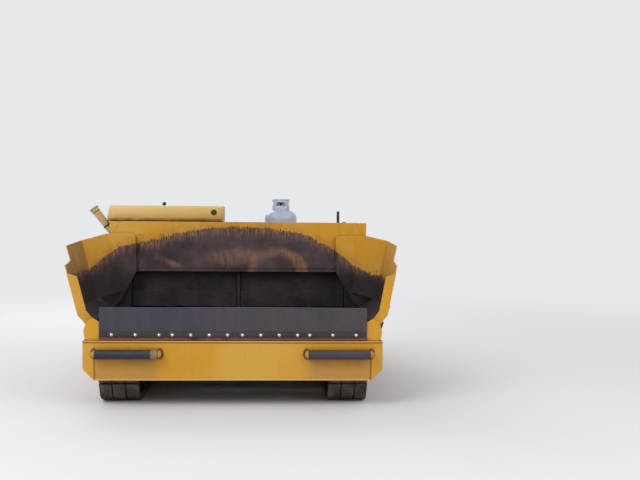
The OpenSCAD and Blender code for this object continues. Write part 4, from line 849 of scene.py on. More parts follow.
def rounded(points, radius, steps=6, closed=False):
    """The points of a path with its corners rounded."""
    points = [Vector(p) for p in points]
    result = []
    for i, corner in enumerate(points):
        if not closed and i in (0, len(points) - 1):
            result.append(corner)
            continue
        before, after = points[i - 1], points[(i + 1) % len(points)]
        near = min(radius, (corner - before).length * 0.48, (corner - after).length * 0.48)
        start = corner + (before - corner).normalized() * near
        end = corner + (after - corner).normalized() * near
        for k in range(steps + 1):
            t = k / steps
            result.append(start * (1 - t) ** 2 + corner * (2 * t * (1 - t)) + end * t ** 2)
    return result


def tube(bm, points, radius, sides=12, closed=False):
    """A round bar along a path. The radius is one number, or one for each point."""
    points = [Vector(p) for p in points]
    count = len(points)
    radii = radius if isinstance(radius, list) else [radius] * count
    rings = []
    across = None
    for i, point in enumerate(points):
        before = points[i - 1] if closed or i else point
        after = points[(i + 1) % count] if closed or i < count - 1 else point
        along = (after - before).normalized()
        if across is None:
            across = along.orthogonal().normalized()
        across = (across - along * across.dot(along)).normalized()
        other = along.cross(across)
        rings.append([bm.verts.new(point + (across * a + other * b) * radii[i]) for a, b in around(sides, 1)])
    for i in range(count if closed else count - 1):
        a, b = rings[i], rings[(i + 1) % count]
        for k in range(sides):
            m = (k + 1) % sides
            bm.faces.new((a[k], a[m], b[m], b[k]))
    if not closed:
        bm.faces.new(list(reversed(rings[0])))
        bm.faces.new(rings[-1])


def bolt(bm, at, axis, across=0.019, washer=True):
    """A hexagon head on its washer. The place is on the surface that it is screwed to."""
    radius = across / 2 / math.cos(math.pi / 6)
    base = 0.0
    if washer:
        base = across * 0.12
        wide = across * 0.98
        lathe(bm, button(wide, base, wide * 0.96, base * 0.8), at, axis, 20)
    top = base + across * 0.62
    lathe(bm, [(0, base), (radius, base), (radius, top * 0.9), (radius * 0.84, top), (0, top)], at, axis, 6)


def weld(bm, a, b, radius=0.004, pitch=0.006):
    """A weld bead between two points, with the ripples of its passes."""
    a, b = Vector(a), Vector(b)
    count = 2 * max(4, int((b - a).length / pitch))
    points = [a.lerp(b, i / count) for i in range(count + 1)]
    ripples = [0.10 if i % 2 else -0.06 for i in range(count + 1)]
    radii = [radius * (1.0 + 0.25 * noise.noise(p * 40) + ripple) for p, ripple in zip(points, ripples)]
    tube(bm, points, radii, 6)


def weld_ring(bm, centre, radius, bead, axis=(0, 0, 1), count=40):
    """A round weld bead about an axis."""
    turn = turned_to(axis)
    points = [Vector(centre) + turn @ Vector((x, y, 0)) for x, y in around(count, radius)]
    tube(bm, points, [bead * (1.12 if k % 2 else 0.9) for k in range(count)], 6, True)


def grid(bm, columns, rows, place):
    """A sheet of quads, its corners placed by a function of (column, row)."""
    verts = [[bm.verts.new(place(i, j)) for j in range(rows + 1)] for i in range(columns + 1)]
    for i in range(columns):
        for j in range(rows):
            bm.faces.new((verts[i][j], verts[i + 1][j], verts[i + 1][j + 1], verts[i][j + 1]))


# Hopper

FLAP_LOW, FLAP_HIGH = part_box("apron_flap")
# Above this height the flap hangs free of its bars
FLAP_FREE = 0.63

# Each bar: its first bolt's place across the machine, its number of bolts and their pitch
BOLT_SETS = [(-0.987, 3, 0.191), (-0.498, 4, 0.149), (0.069, 4, 0.150), (0.618, 3, 0.190)]
BOLT_Z = 0.592
BAR_HALF, BAR_END, BAR_THICK = 0.020, 0.034, 0.006
# A domed head from its foot to its crown: (radius, height)
BOLT_DOME = [(0, 0), (0.0125, 0), (0.0125, 0.002), (0.0112, 0.0055), (0.0082, 0.0083), (0.0043, 0.0097),
             (0, 0.010)]


def add_flap():
    """The rubber flap: a slightly wavy sheet bolted along its foot."""
    low, high = FLAP_LOW, FLAP_HIGH
    columns, rows = 150, 20

    def front(i, j):
        x = low.x + (high.x - low.x) * i / columns
        z = low.z + (high.z - low.z) * j / rows
        free = max(0.0, (z - FLAP_FREE) / (high.z - FLAP_FREE))
        wave = free * (0.0030 * math.sin(5.3 * x + 0.6) + 0.0022 * math.sin(12.1 * x + 2.0) + 0.0034)
        sag = 0.003 * (math.sin(3.1 * x + 1.0) - 1) * (j / rows) ** 3
        return Vector((x, low.y - wave, z + sag))

    bm = bmesh.new()
    grid(bm, columns, rows, front)
    flap = add_piece("rubber_flap", bm, "flap")
    thicken(flap, high.y - low.y, -1 if flap.data.polygons[0].normal.y < 0 else 1, rim=0.0018)
    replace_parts(flap, "apron_flap")


def add_flap_bars():
    face = FLAP_LOW.y
    front = (0, -1, 0)
    bars, bolts, washers = bmesh.new(), bmesh.new(), bmesh.new()
    for first, count, pitch in BOLT_SETS:
        last = first + (count - 1) * pitch
        box(bars, (first - BAR_END, face - BAR_THICK, BOLT_Z - BAR_HALF),
            (last + BAR_END, face, BOLT_Z + BAR_HALF), 0.0015)
        for i in range(count):
            x, y = first + i * pitch, face - BAR_THICK
            lathe(washers, button(0.021, 0.0035, 0.019, 0.0025), (x, y, BOLT_Z), front, 24)
            lathe(bolts, BOLT_DOME, (x, y - 0.003, BOLT_Z), front, 24)
    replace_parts(add_piece("flap_bar_set", bars, "strap"), "flap_bars")
    add_piece("flap_washers", washers, "pin_dark", crease=30)
    add_piece("flap_bolts", bolts, "bolt", crease=50)


def add_hopper_welds():
    """Beads where the sheets of the hopper meet, and round the covers of the wing hinges."""
    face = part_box("hopper_floor")[0].y
    bm = bmesh.new()
    for side in SIDES.values():
        # Round the front hinge cover, along its foot and its inner edge
        weld(bm, (side * 1.077, face - 0.001, 0.547), (side * 1.188, face - 0.001, 0.547))
        weld(bm, (side * 1.077, face + 0.006, 0.55), (side * 1.077, face + 0.006, 0.69), 0.003)
    add_piece("hopper_welds", bm, "weld", crease=60)
    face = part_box("rear_wall")[0].y
    bm = bmesh.new()
    weld(bm, (-0.99, face - 0.0005, 1.065), (0.99, face - 0.0005, 1.065), 0.003)
    for side in SIDES.values():
        weld(bm, (side * 1.0, face, 0.72), (side * 1.0, face, 1.03), 0.003)
    add_piece("recess_welds", bm, "asphalt", crease=60)


# The rubber strips on each side: (x, y, z) of two opposite corners
SEALS = [
    ((1.128, -1.765, 0.635), (1.133, -1.266, 0.664)),
    ((1.128, -1.194, 0.635), (1.133, -0.675, 0.664)),
    ((1.001, -0.6160, 0.622), (1.105, -0.6102, 0.664)),
]
TRAY_OUTLINE = [(-1.7275, 0.350), (-1.430, 0.350), (-1.412, 0.364), (-1.415, 0.368), (-1.432, 0.355),
                (-1.7220, 0.355), (-1.7220, 0.377), (-1.7275, 0.377)]
TRAY_HALF = 0.6872


def add_hopper_seals():
    """Strips that close the slit under each wing's hinge and behind the floor's rear corners, and the tray
    under the front ends of the conveyors that catches what falls through."""
    bm = bmesh.new()
    for side in SIDES.values():
        for a, b in SEALS:
            box(bm, (side * a[0], *a[1:]), (side * b[0], *b[1:]), 0.0015)
    add_piece("hopper_seals", bm, "strap")
    bm = bmesh.new()
    prism(bm, TRAY_OUTLINE, 0, -TRAY_HALF, TRAY_HALF, 0.0008, 1)
    add_piece("conveyor_tray", bm, "asphalt")


# The bends of a wing's outside, along the machine, and the heights between which they are welded
WING_BENDS = (-1.488, -1.142, -1.482, -1.148)
WING_WELD_Z = (0.83, 1.06)


def add_wing_welds():
    """Beads along each wing's bends, on the outside, where its ribs stand."""
    for label, side in SIDES.items():
        body = f"wing_{label}"
        bm = bmesh.new()
        tree = surface_of(body)
        for y in WING_BENDS:
            hits = [tree.ray_cast(Vector((side * 1.6, y, z)), Vector((-side, 0, 0)))[0] for z in WING_WELD_Z]
            if None not in hits:
                weld(bm, *hits, 0.003)
        add_piece(body + "_welds", bm, "weld", body, crease=60)


# Engine hood and cowl

HOOD_LOW, HOOD_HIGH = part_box("engine_hood")
HOOD_FOOT, HOOD_SLOPE, HOOD_SHEET = 1.505, 0.030, 0.005
HOOD_FRONT, HOOD_BACK = HOOD_LOW.y + 0.010, HOOD_HIGH.y - 0.024
# The seal inside the hood's foot: its height, its width and how far it stands in
SEAL_LOW, SEAL_HIGH, SEAL_WIDTH, SEAL_INSET = 1.4985, 1.5075, 0.016, 0.012
HINGE_Y, HINGE_Z, HINGE_LENGTH = 0.148, 1.499, 0.08


def add_hood():
    """The engine hood: a pressed sheet with soft edges, its seal, its hinges and its round latch."""
    low, high, front, back = HOOD_LOW, HOOD_HIGH, HOOD_FRONT, HOOD_BACK
    # The outline across the machine, its upper corners rounded, open at the foot
    section = rounded([(low.x, 0, HOOD_FOOT), (low.x + HOOD_SLOPE, 0, high.z), (high.x, 0, high.z),
                       (high.x, 0, HOOD_FOOT)], 0.016)
    ease = 0.012
    # Rings along the machine: each end is drawn in a little, so that its edges are soft
    stations = [(front, ease), (front + ease * 0.3, ease * 0.3), (front + ease, 0.0),
                (back - ease, 0.0), (back - ease * 0.3, ease * 0.3), (back, ease)]
    middle = (low.x + high.x) / 2
    bm = bmesh.new()
    rings = []
    for y, inset in stations:
        rings.append([bm.verts.new((p.x + (inset if p.x < middle else -inset), y,
                                    p.z - inset * (p.z > high.z - 0.07))) for p in section])
    for a, b in zip(rings, rings[1:]):
        for i in range(len(a) - 1):
            bm.faces.new((a[i], a[i + 1], b[i + 1], b[i]))
    bm.faces.new(rings[0])
    bm.faces.new(list(reversed(rings[-1])))
    hood = add_piece("hood_panel", bm, "hood", "hood", crease=50)
    thicken(hood, HOOD_SHEET)
    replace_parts(hood, "engine_hood")

    bm = bmesh.new()
    left, right = low.x + SEAL_INSET, high.x - SEAL_INSET
    for y in (front + SEAL_INSET, back - SEAL_INSET - SEAL_WIDTH):
        box(bm, (left, y, SEAL_LOW), (right, y + SEAL_WIDTH, SEAL_HIGH), 0.003)
    for x in (left + SEAL_WIDTH, right - SEAL_WIDTH):
        box(bm, (x, front + SEAL_INSET, SEAL_LOW), (x + SEAL_WIDTH, back - SEAL_INSET, SEAL_HIGH), 0.003)
    add_piece("hood_seal", bm, "rubber_black", "hood")

    # Hinge tubes and straps on the rear edge
    bm = bmesh.new()
    for x in (low.x + 0.160, high.x - 0.200):
        end = x + HINGE_LENGTH
        lathe(bm, sleeve(0.0056, 0.010, 0, HINGE_LENGTH), (x, HINGE_Y, HINGE_Z), (1, 0, 0), 20, True)
        box(bm, (x, back - 0.001, 1.507), (end, HINGE_Y + 0.010, 1.515), 0.002)
        box(bm, (x, HINGE_Y + 0.004, HINGE_Z), (end, HINGE_Y + 0.010, 1.514), 0.002)
        for dx in (0.02, 0.06):
            bolt(bm, (x + dx, back + 0.001, 1.54), (0, 1, 0), 0.010)
    add_piece("hood_hinges", bm, "paint", "hood")

    # Round latch on the front face: a cup with its turning grip
    x, z = high.x - 0.078, 1.5865
    cup = [(0, -0.001), (0.027, -0.001), (0.027, 0.003), (0.025, 0.0055), (0.020, 0.0055), (0.018, 0.001),
           (0, 0.001)]
    bm = bmesh.new()
    lathe(bm, cup, (x, front, z), (0, -1, 0), 36)
    add_piece("hood_latch_cup", bm, "black", "hood")
    bm = bmesh.new()
    lathe(bm, button(0.010, 0.0075, 0.008, 0.006), (x, front, z), (0, -1, 0), 24)
    box(bm, (x - 0.015, front - 0.0085, z - 0.0035), (x + 0.015, front - 0.002, z + 0.0035), 0.0015)
    add_piece("hood_latch_grip", bm, "brown_steel", "hood")


COWL_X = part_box("engine_cowl")[0].x
COWL_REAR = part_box("tunnel_housing")[1].y
BAY_FRONT, BAY_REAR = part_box("engine_cowl")[0].y + 0.126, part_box("oil_tank")[1].y
# The louvres: their number, the height of the lowest blade's edge and their pitch
LOUVRES, LOUVRE_Z, LOUVRE_PITCH = 10, 1.058, 0.038
BLADE_HEIGHT, BLADE_REACH, BLADE_EASE = 0.016, 0.010, 0.018


def louvre(bm, start, end, outward):
    """A pressed louvre blade over a slot, from start to end along the slot's upper edge."""
    start, end, outward = Vector(start), Vector(end), Vector(outward)
    length = (end - start).length
    columns, rows = 12, 4

    def place(i, j):
        t, s = i / columns, j / rows
        bulge = math.sin(min(1.0, min(t, 1 - t) * length / BLADE_EASE) * math.pi / 2)
        out = BLADE_REACH * bulge * math.sin(s * math.pi / 2)
        return start.lerp(end, t) + outward * (out + 0.0006) - Vector((0, 0, BLADE_HEIGHT * s))

    grid(bm, columns, rows, place)


def add_cowl_details():
    """Louvre blades, door seams, hinges and latches of the engine cowl."""
    bm = bmesh.new()
    for i in range(LOUVRES):
        top = LOUVRE_Z + i * LOUVRE_PITCH
        louvre(bm, (COWL_X, -0.366, top), (COWL_X, -0.006, top), (-1, 0, 0))
        for x in (COWL_X + 0.156, COWL_X + 0.576):
            louvre(bm, (x, COWL_REAR, top), (x + 0.338, COWL_REAR, top), (0, 1, 0))
    thicken(add_piece("cowl_louvres", bm, "paint", crease=30), 0.0015, 0)

    # Door round the side louvres: a raised panel edge, two hinges and a latch
    bm = bmesh.new()
    low, high, front, back = 0.985, 1.475, -0.400, 0.040
    path = [(COWL_X - 0.001, y, z) for y, z in ((front, low), (back, low), (back, high), (front, high))]
    tube(bm, rounded(path, 0.03, 5, True), 0.0028, 6, True)
    for z in (1.08, 1.38):
        lathe(bm, disc(0.007, 0, 0.06), (COWL_X - 0.006, back + 0.004, z - 0.03), steps=14)
        box(bm, (COWL_X - 0.004, back - 0.028, z - 0.028), (COWL_X, back + 0.034, z + 0.028), 0.001)
    add_piece("cowl_door", bm, "paint")
    bm = bmesh.new()
    for z in (1.12, 1.34):
        box(bm, (COWL_X - 0.010, front + 0.012, z - 0.032), (COWL_X, front + 0.042, z + 0.032), 0.003)
        box(bm, (COWL_X - 0.016, front + 0.020, z - 0.022), (COWL_X - 0.008, front + 0.034, z + 0.020), 0.002)
    add_piece("cowl_latches", bm, "black")


# The filler neck: its middle along the machine, the height of its root, its lean and its length
NECK_Y, NECK_Z, NECK_LEAN, NECK_LENGTH = -0.372, 1.398, math.radians(38), 0.265
CAP_RADIUS, CAP_STUDS = 0.0445, 18


def add_filler_cap():
    """The cap on the filler neck with its grip studs, the neck's clamps, and the bolts at its root."""
    axis = Vector((-math.sin(NECK_LEAN), 0, math.cos(NECK_LEAN)))
    root = Vector((COWL_X, NECK_Y, NECK_Z))
    tip = root + axis * NECK_LENGTH
    turn = turned_to(axis)
    bm = bmesh.new()
    cap = [(0, 0), (0.043, 0), (CAP_RADIUS, 0.003), (CAP_RADIUS, 0.012), (0.041, 0.016), (0.020, 0.019),
           (0, 0.019)]
    lathe(bm, cap, tip, axis, 36)
    for x, y in around(CAP_STUDS, CAP_RADIUS):
        spot = tip + turn @ Vector((x, y, 0.0075))
        lathe(bm, disc(0.0018, -0.004, 0.004), spot, axis, 6)
    add_piece("filler_cap", bm, "cap")
    bm = bmesh.new()
    lathe(bm, sleeve(0.0352, 0.0372, 0, 0.006), tip - axis * 0.034, axis, 36, True)
    lathe(bm, sleeve(0.0352, 0.0375, 0, 0.016), root + axis * 0.060, axis, 36, True)
    box(bm, (COWL_X - 0.020, NECK_Y - 0.028, NECK_Z - 0.046),
        (COWL_X - 0.0105, NECK_Y + 0.028, NECK_Z), 0.002)
    add_piece("filler_clamps", bm, "black")
    bm = bmesh.new()
    for dy in (-0.045, 0.045):
        for z in (1.345, 1.451):
            bolt(bm, (COWL_X - 0.010, NECK_Y + dy, z), (-1, 0, 0), 0.010)
    add_piece("filler_bolts", bm, "bolt")


# Gas bottle

BOTTLE_X, BOTTLE_Y, BOTTLE_FOOT = 0.397, -0.375, 1.258
BOTTLE_RADIUS, BOTTLE_BODY = 0.1525, 0.357
BOTTLE_LOW, BOTTLE_KNUCKLE, BOTTLE_NECK, BOTTLE_DOME = 0.022, 0.070, 0.030, 0.085
COLLAR_RADIUS, COLLAR_LOW, COLLAR_HIGH = 0.082, BOTTLE_BODY - 0.010, BOTTLE_BODY + 0.100
# The collar's windows: middle in degrees from the front, half width, lowest row and the row above it
WINDOWS = [(-2, 31, 9, 15), (92, 30, 10, 16), (268, 30, 10, 16)]
WHEEL_RADIUS, WHEEL_WAVE = 0.024, 0.0022


def bottle_profile():
    """Radius and height of the bottle's body, from its bottom dome over its weld to its neck."""
    low, knuckle, neck = BOTTLE_LOW, BOTTLE_KNUCKLE, BOTTLE_NECK
    points = [(0.0, low)]
    for k in range(9):
        a = math.pi / 2 * k / 8
        points.append((BOTTLE_RADIUS - knuckle + knuckle * math.sin(a), low + knuckle * (1 - math.cos(a))))
    seam = (low + BOTTLE_BODY) / 2
    for height, swell in ((-0.007, 0.0), (-0.004, 0.0012), (0.0, 0.0018), (0.004, 0.0012), (0.007, 0.0)):
        points.append((BOTTLE_RADIUS - 0.002 + swell, seam + height))
    for k in range(13):
        a = math.pi / 2 * k / 12
        points.append((neck + (BOTTLE_RADIUS - neck) * math.cos(a) ** 0.72,
                       BOTTLE_BODY - BOTTLE_DOME + BOTTLE_DOME * math.sin(a)))
    return points + [(0.018, BOTTLE_BODY + 0.002), (0.0, BOTTLE_BODY + 0.002)]


def add_collar(x, y):
    """The guard collar: a rolled sheet with windows, and a hand rim along its top."""
    steps, rows = 120, 20

    def is_open(i, j):
        angle = 360.0 * (i + 0.5) / steps
        return any(abs((angle - middle + 180) % 360 - 180) < half and bottom <= j < top
                   for middle, half, bottom, top in WINDOWS)

    bm = bmesh.new()
    levels = [BOTTLE_FOOT + COLLAR_LOW + (COLLAR_HIGH - COLLAR_LOW) * j / rows for j in range(rows + 1)]
    verts = [[bm.verts.new((x + b, y - a, z)) for z in levels] for a, b in around(steps, COLLAR_RADIUS)]
    for i in range(steps):
        for j in range(rows):
            if not is_open(i, j):
                k = (i + 1) % steps
                bm.faces.new((verts[i][j], verts[k][j], verts[k][j + 1], verts[i][j + 1]))
    thicken(add_piece("bottle_collar", bm, "gas", crease=40), 0.0035, rim=0.0009)
    bm = bmesh.new()
    rim = [(x + a, y + b, BOTTLE_FOOT + COLLAR_HIGH - 0.0005) for a, b in around(72, COLLAR_RADIUS - 0.001)]
    tube(bm, rim, 0.0036, 8, True)
    add_piece("bottle_rim", bm, "gas")


def add_bottle():
    """The gas bottle with its collar and valve, in its ring tray, held by a strap."""
    x, y = BOTTLE_X, BOTTLE_Y
    at = (x, y, BOTTLE_FOOT)
    bm = bmesh.new()
    lathe(bm, bottle_profile(), at, steps=72)
    foot = BOTTLE_RADIUS - 0.045
    ring = [(foot, 0.052), (foot, 0.004), (foot + 0.003, 0.0), (foot + 0.004, 0.004), (foot + 0.004, 0.052)]
    lathe(bm, ring, at, steps=72, closed=True)
    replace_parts(add_piece("bottle_body", bm, "gas", crease=50), "gas_bottle")
    add_collar(x, y)

    # Valve: body, side outlet, safety plug and hand wheel
    bm = bmesh.new()
    base = BOTTLE_FOOT + BOTTLE_BODY
    middle = (x, y, base + 0.028)
    lathe(bm, [(0.018, -0.004), (0.018, 0.010), (0.014, 0.014), (0.014, 0.048), (0.010, 0.052),
               (0.006, 0.060), (0, 0.060)], (x, y, base), steps=24)
    lathe(bm, [(0, 0.010), (0.013, 0.010), (0.013, 0.030), (0.0165, 0.032), (0.0165, 0.046), (0.012, 0.046),
               (0, 0.044)], middle, (0.25, -0.97, 0), 24)
    lathe(bm, disc(0.008, 0.010, 0.022), middle, (-0.97, 0.25, 0), 6)
    add_piece("bottle_valve", bm, "brass", crease=40)
    bm = bmesh.new()
    wave = [1 + WHEEL_WAVE / WHEEL_RADIUS * math.cos(6 * math.tau * k / 48) for k in range(48)]
    wheel = [(x + a * swell, y + b * swell) for (a, b), swell in zip(around(48, WHEEL_RADIUS), wave)]
    prism(bm, wheel, 2, base + 0.060, base + 0.074, 0.003)
    lathe(bm, [(0, 0.073), (0.008, 0.073), (0.007, 0.077), (0, 0.077)], (x, y, base), steps=16)
    add_piece("bottle_wheel", bm, "black", crease=40)

    # Ring tray with its strap
    bm = bmesh.new()
    lathe(bm, [(0, 0), (0.1645, 0), (0.1645, 0.039), (0.1635, 0.040), (0.1595, 0.040), (0.1585, 0.039),
               (0.1585, 0.0078), (0, 0.0078)], (x, y, BOTTLE_FOOT - 0.008), steps=72)
    add_piece("bottle_tray", bm, "paint", crease=40)
    bm = bmesh.new()
    lathe(bm, sleeve(0.1512, 0.1535, 0.150, 0.178), at, steps=72, closed=True)
    box(bm, (x - 0.022, y + 0.150, BOTTLE_FOOT + 0.144), (x + 0.022, y + 0.166, BOTTLE_FOOT + 0.184), 0.002)
    box(bm, (x - 0.012, y + 0.160, BOTTLE_FOOT - 0.006), (x + 0.012, y + 0.166, BOTTLE_FOOT + 0.160), 0.001)
    add_piece("bottle_strap", bm, "dark", crease=40)


# Oil tank

TANK_LOW, TANK_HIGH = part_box("oil_tank")
TANK_CAP = (0.92, -0.20)
# The sight glass: its middle along the machine, and its foot and top
GLASS_Y, GLASS_LOW, GLASS_HIGH = 0.045, 1.035, 1.185


def add_tank_details():
    """Filler cap, cover plate, bolts, sight glass and welds of the oil tank."""
    low, high, top = TANK_LOW, TANK_HIGH, TANK_HIGH.z
    bm = bmesh.new()
    cap = [(0, 0), (0.052, 0), (0.052, 0.006), (0.044, 0.008), (0.044, 0.034), (0.040, 0.040), (0, 0.041)]
    lathe(bm, cap, (*TANK_CAP, top), steps=40)
    for a, b in around(8, 0.042):
        x, y = TANK_CAP[0] + a, TANK_CAP[1] + b
        box(bm, (x - 0.004, y - 0.004, top + 0.010), (x + 0.004, y + 0.004, top + 0.034), 0.002)
    add_piece("tank_cap", bm, "black")
    bm = bmesh.new()
    box(bm, (0.62, -0.03, top), (0.86, 0.10, top + 0.006), 0.0015)
    add_piece("tank_cover", bm, "paint")
    bm = bmesh.new()
    for x in (0.638, 0.740, 0.842):
        for y in (-0.012, 0.082):
            bolt(bm, (x, y, top + 0.006), (0, 0, 1), 0.013)
    for z in (GLASS_HIGH, GLASS_LOW):
        bolt(bm, (high.x, GLASS_Y, z), (1, 0, 0), 0.014)
    add_piece("tank_bolts", bm, "bolt")
    bm = bmesh.new()
    box(bm, (high.x, GLASS_Y - 0.012, GLASS_LOW), (high.x + 0.012, GLASS_Y + 0.012, GLASS_HIGH), 0.002)
    add_piece("sight_frame", bm, "dark")
    bm = bmesh.new()
    box(bm, (high.x + 0.010, GLASS_Y - 0.006, GLASS_LOW + 0.015),
        (high.x + 0.0145, GLASS_Y + 0.006, GLASS_HIGH - 0.015), 0.0015)
    add_piece("sight_glass", bm, "oil_glass")
    bm = bmesh.new()
    bead = top - 0.0005
    for y in (BAY_FRONT + 0.002, BAY_REAR - 0.002):
        weld(bm, (low.x + 0.01, y, bead), (high.x - 0.01, y, bead), 0.0025)
    for x in (low.x + 0.001, high.x - 0.001):
        weld(bm, (x, BAY_FRONT + 0.01, bead), (x, BAY_REAR - 0.01, bead), 0.0025)
    add_piece("tank_welds", bm, "weld", crease=60)


# Operator's deck, consoles, seats and rails

DECK = 0.765
DECK_LOW, DECK_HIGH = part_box("operator_deck")
DECK_MARGIN_X, DECK_MARGIN_Y = 0.030, 0.025
# A tread bar: half its length, half its width, its height and the pitch
BAR_LONG, BAR_WIDE, BAR_HIGH, BAR_PITCH = 0.0115, 0.0032, 0.0014, 0.034


def add_deck_tread():
    """Raised bars of the deck's tread plate, in pairs that cross."""
    bm = bmesh.new()
    width = DECK_HIGH.x - DECK_LOW.x - 2 * DECK_MARGIN_X
    depth = DECK_HIGH.y - DECK_LOW.y - 2 * DECK_MARGIN_Y
    columns, rows = int(width / BAR_PITCH), int(depth / BAR_PITCH)
    half = BAR_LONG * 0.5
    spots = [(BAR_LONG, 0), (half, BAR_WIDE), (-half, BAR_WIDE), (-BAR_LONG, 0), (-half, -BAR_WIDE),
             (half, -BAR_WIDE)]
    for i in range(columns + 1):
        for j in range(rows + 1):
            turn = Matrix.Rotation(math.radians(45 if (i + j) % 2 else -45), 2)
            middle = Vector((DECK_LOW.x + DECK_MARGIN_X + i * width / columns,
                             DECK_LOW.y + DECK_MARGIN_Y + j * depth / rows))
            ring, tip = ([bm.verts.new((*(middle + turn @ Vector(spot) * share), level)) for spot in spots]
                         for share, level in ((1, DECK), (0.7, DECK + BAR_HIGH)))
            for k in range(6):
                m = (k + 1) % 6
                bm.faces.new((ring[k], ring[m], tip[m], tip[k]))
            bm.faces.new(tip)
    add_piece("deck_tread", bm, "tread", crease=50)


CONSOLE_FRONT = 0.180
CONSOLE_TOP = DECK + 0.625
CONSOLE_PLACE = {"console_left": -0.730, "console_right": 0.730}
CONSOLE_HALF = 0.210
LEVER_STEP = 0.110
# The console's top falls this much from its front edge to its rear one
TOP_FALL, TOP_DEPTH = 0.100, 0.210
TOP_SLOPE = math.atan2(TOP_FALL, TOP_DEPTH)
TOP_NORMAL = Vector((0, math.sin(TOP_SLOPE), math.cos(TOP_SLOPE)))
TOP_TURN = Matrix.Rotation(-TOP_SLOPE, 3, "X")
PLATE_SIZE = Vector((0.395, 0.215, 0.003))
# The red stop knob, and the rim of a gauge: (radius, height)
STOP_KNOB = [(0, 0), (0.017, 0), (0.017, 0.003), (0.010, 0.006), (0.010, 0.011), (0.0165, 0.013),
             (0.0165, 0.019), (0.013, 0.022), (0, 0.022)]
GAUGE_RIM = [(0.0215, 0), (0.0255, 0), (0.0255, 0.005), (0.0235, 0.007), (0.0215, 0.0055)]


def on_console(x, along, lift=0.0):
    """A point on the console's sloping top: along is 0 at its front edge and 1 at its rear one."""
    return Vector((x, CONSOLE_FRONT + TOP_DEPTH * along, CONSOLE_TOP - TOP_FALL * along)) + TOP_NORMAL * lift


def on_dial(at, degrees, radius):
    """A point of a dial, at an angle from the side that faces the operator."""
    a = math.radians(degrees)
    return at + Vector((math.sin(a) * radius, 0, 0)) + TOP_TURN @ Vector((0, -math.cos(a) * radius, 0))


def add_instruments(name, tall):
    """Instrument plate with gauges, switches, a stop knob and lamps. A tall lever takes a gauge's place."""
    middle, normal = CONSOLE_PLACE[name], TOP_NORMAL
    bm = bmesh.new()
    centre = on_console(middle, 0.5, 0.0012)
    box(bm, centre - PLATE_SIZE / 2, centre + PLATE_SIZE / 2, 0.001, TOP_TURN)
    add_piece(name + "_plate", bm, "black")
    rims, faces, marks, knobs, lamps = (bmesh.new() for _ in range(5))
    for i in range(2 if tall else 3):
        at = on_console(middle - 0.125 + 0.125 * i, 0.20, 0.003)
        lathe(rims, GAUGE_RIM, at, normal, 36, True)
        lathe(faces, [(0, 0.0015), (0.0216, 0.0015)], at, normal, 36)
        for k in range(9):
            lathe(marks, disc(0.0011, 0.0016, 0.0021), on_dial(at, -120 + 30 * k, 0.0175), normal, 6)
        tip = on_dial(at, -70 + 35 * i, 0.015)
        tube(marks, [at + normal * 0.0025, tip + normal * 0.0025], 0.0007, 6)
    for i in range(6):
        at = on_console(middle - 0.150 + 0.048 * i, 0.80, 0.003)
        lathe(rims, button(0.0085, 0.0045, 0.006, 0.002), at, normal, 6)
        tilt = Vector((0, 0.006 if i % 3 else -0.006, 0))
        tube(rims, [at, at + normal * 0.010 + tilt * 0.6, at + normal * 0.019 + tilt],
             [0.0018, 0.0022, 0.0028], 10)
    lathe(knobs, STOP_KNOB, on_console(middle + 0.165, 0.80, 0.003), normal, 28)
    for i in range(3):
        at = on_console(middle - 0.030 + 0.030 * i, 0.37, 0.003)
        lathe(lamps, [(0, 0), (0.0055, 0), (0.0055, 0.002), (0.004, 0.004), (0, 0.005)], at, normal, 16)
    add_piece(name + "_rims", rims, "bolt")
    add_piece(name + "_dials", faces, "dial")
    add_piece(name + "_marks", marks, "white")
    add_piece(name + "_stop", knobs, "red")
    add_piece(name + "_lamps", lamps, "amber")


def add_levers(name, tall):
    """Levers: boot, shaft and ball."""
    middle, y, top = CONSOLE_PLACE[name], CONSOLE_FRONT, CONSOLE_TOP
    shafts, balls, boots = bmesh.new(), bmesh.new(), bmesh.new()
    places = [(middle + i * LEVER_STEP, y + 0.110, top - 0.020, 0.008, 0.016) for i in (-1, 0, 1)]
    if tall:
        places.append((middle - 0.060, y + 0.150, top + 0.280, 0.009, 0.020))
    for x, at_y, ball_z, thick, ball in places:
        at = (x, at_y, ball_z)
        foot = on_console(x, (at_y - y) / TOP_DEPTH).z
        tube(shafts, [(x, at_y, foot - 0.004), (x, at_y, ball_z - ball * 0.7)], thick * 0.72, 14)
        arcs = [math.pi * k / 16 for k in range(1, 16)]
        half_round = [(ball * math.sin(a), -ball * math.cos(a)) for a in arcs]
        lathe(balls, [(0, -ball), *half_round, (0, ball)], at, steps=28)
        lathe(balls, [(0, -ball * 1.25), (thick, -ball * 1.25), (thick * 1.1, -ball * 0.8), (0, -ball * 0.8)],
              at, steps=20)
        ridges = [(0.026 - 0.0022 * k + (0.0028 if k % 2 else 0), 0.003 + 0.0042 * k) for k in range(8)]
        lathe(boots, [(0, 0.0)] + ridges + [(0.0, 0.036)], (x, at_y, foot), steps=24)
    add_piece(name + "_shafts", shafts, "bolt")
    add_piece(name + "_knobs", balls, "knob")
    add_piece(name + "_boots", boots, "rubber_black")


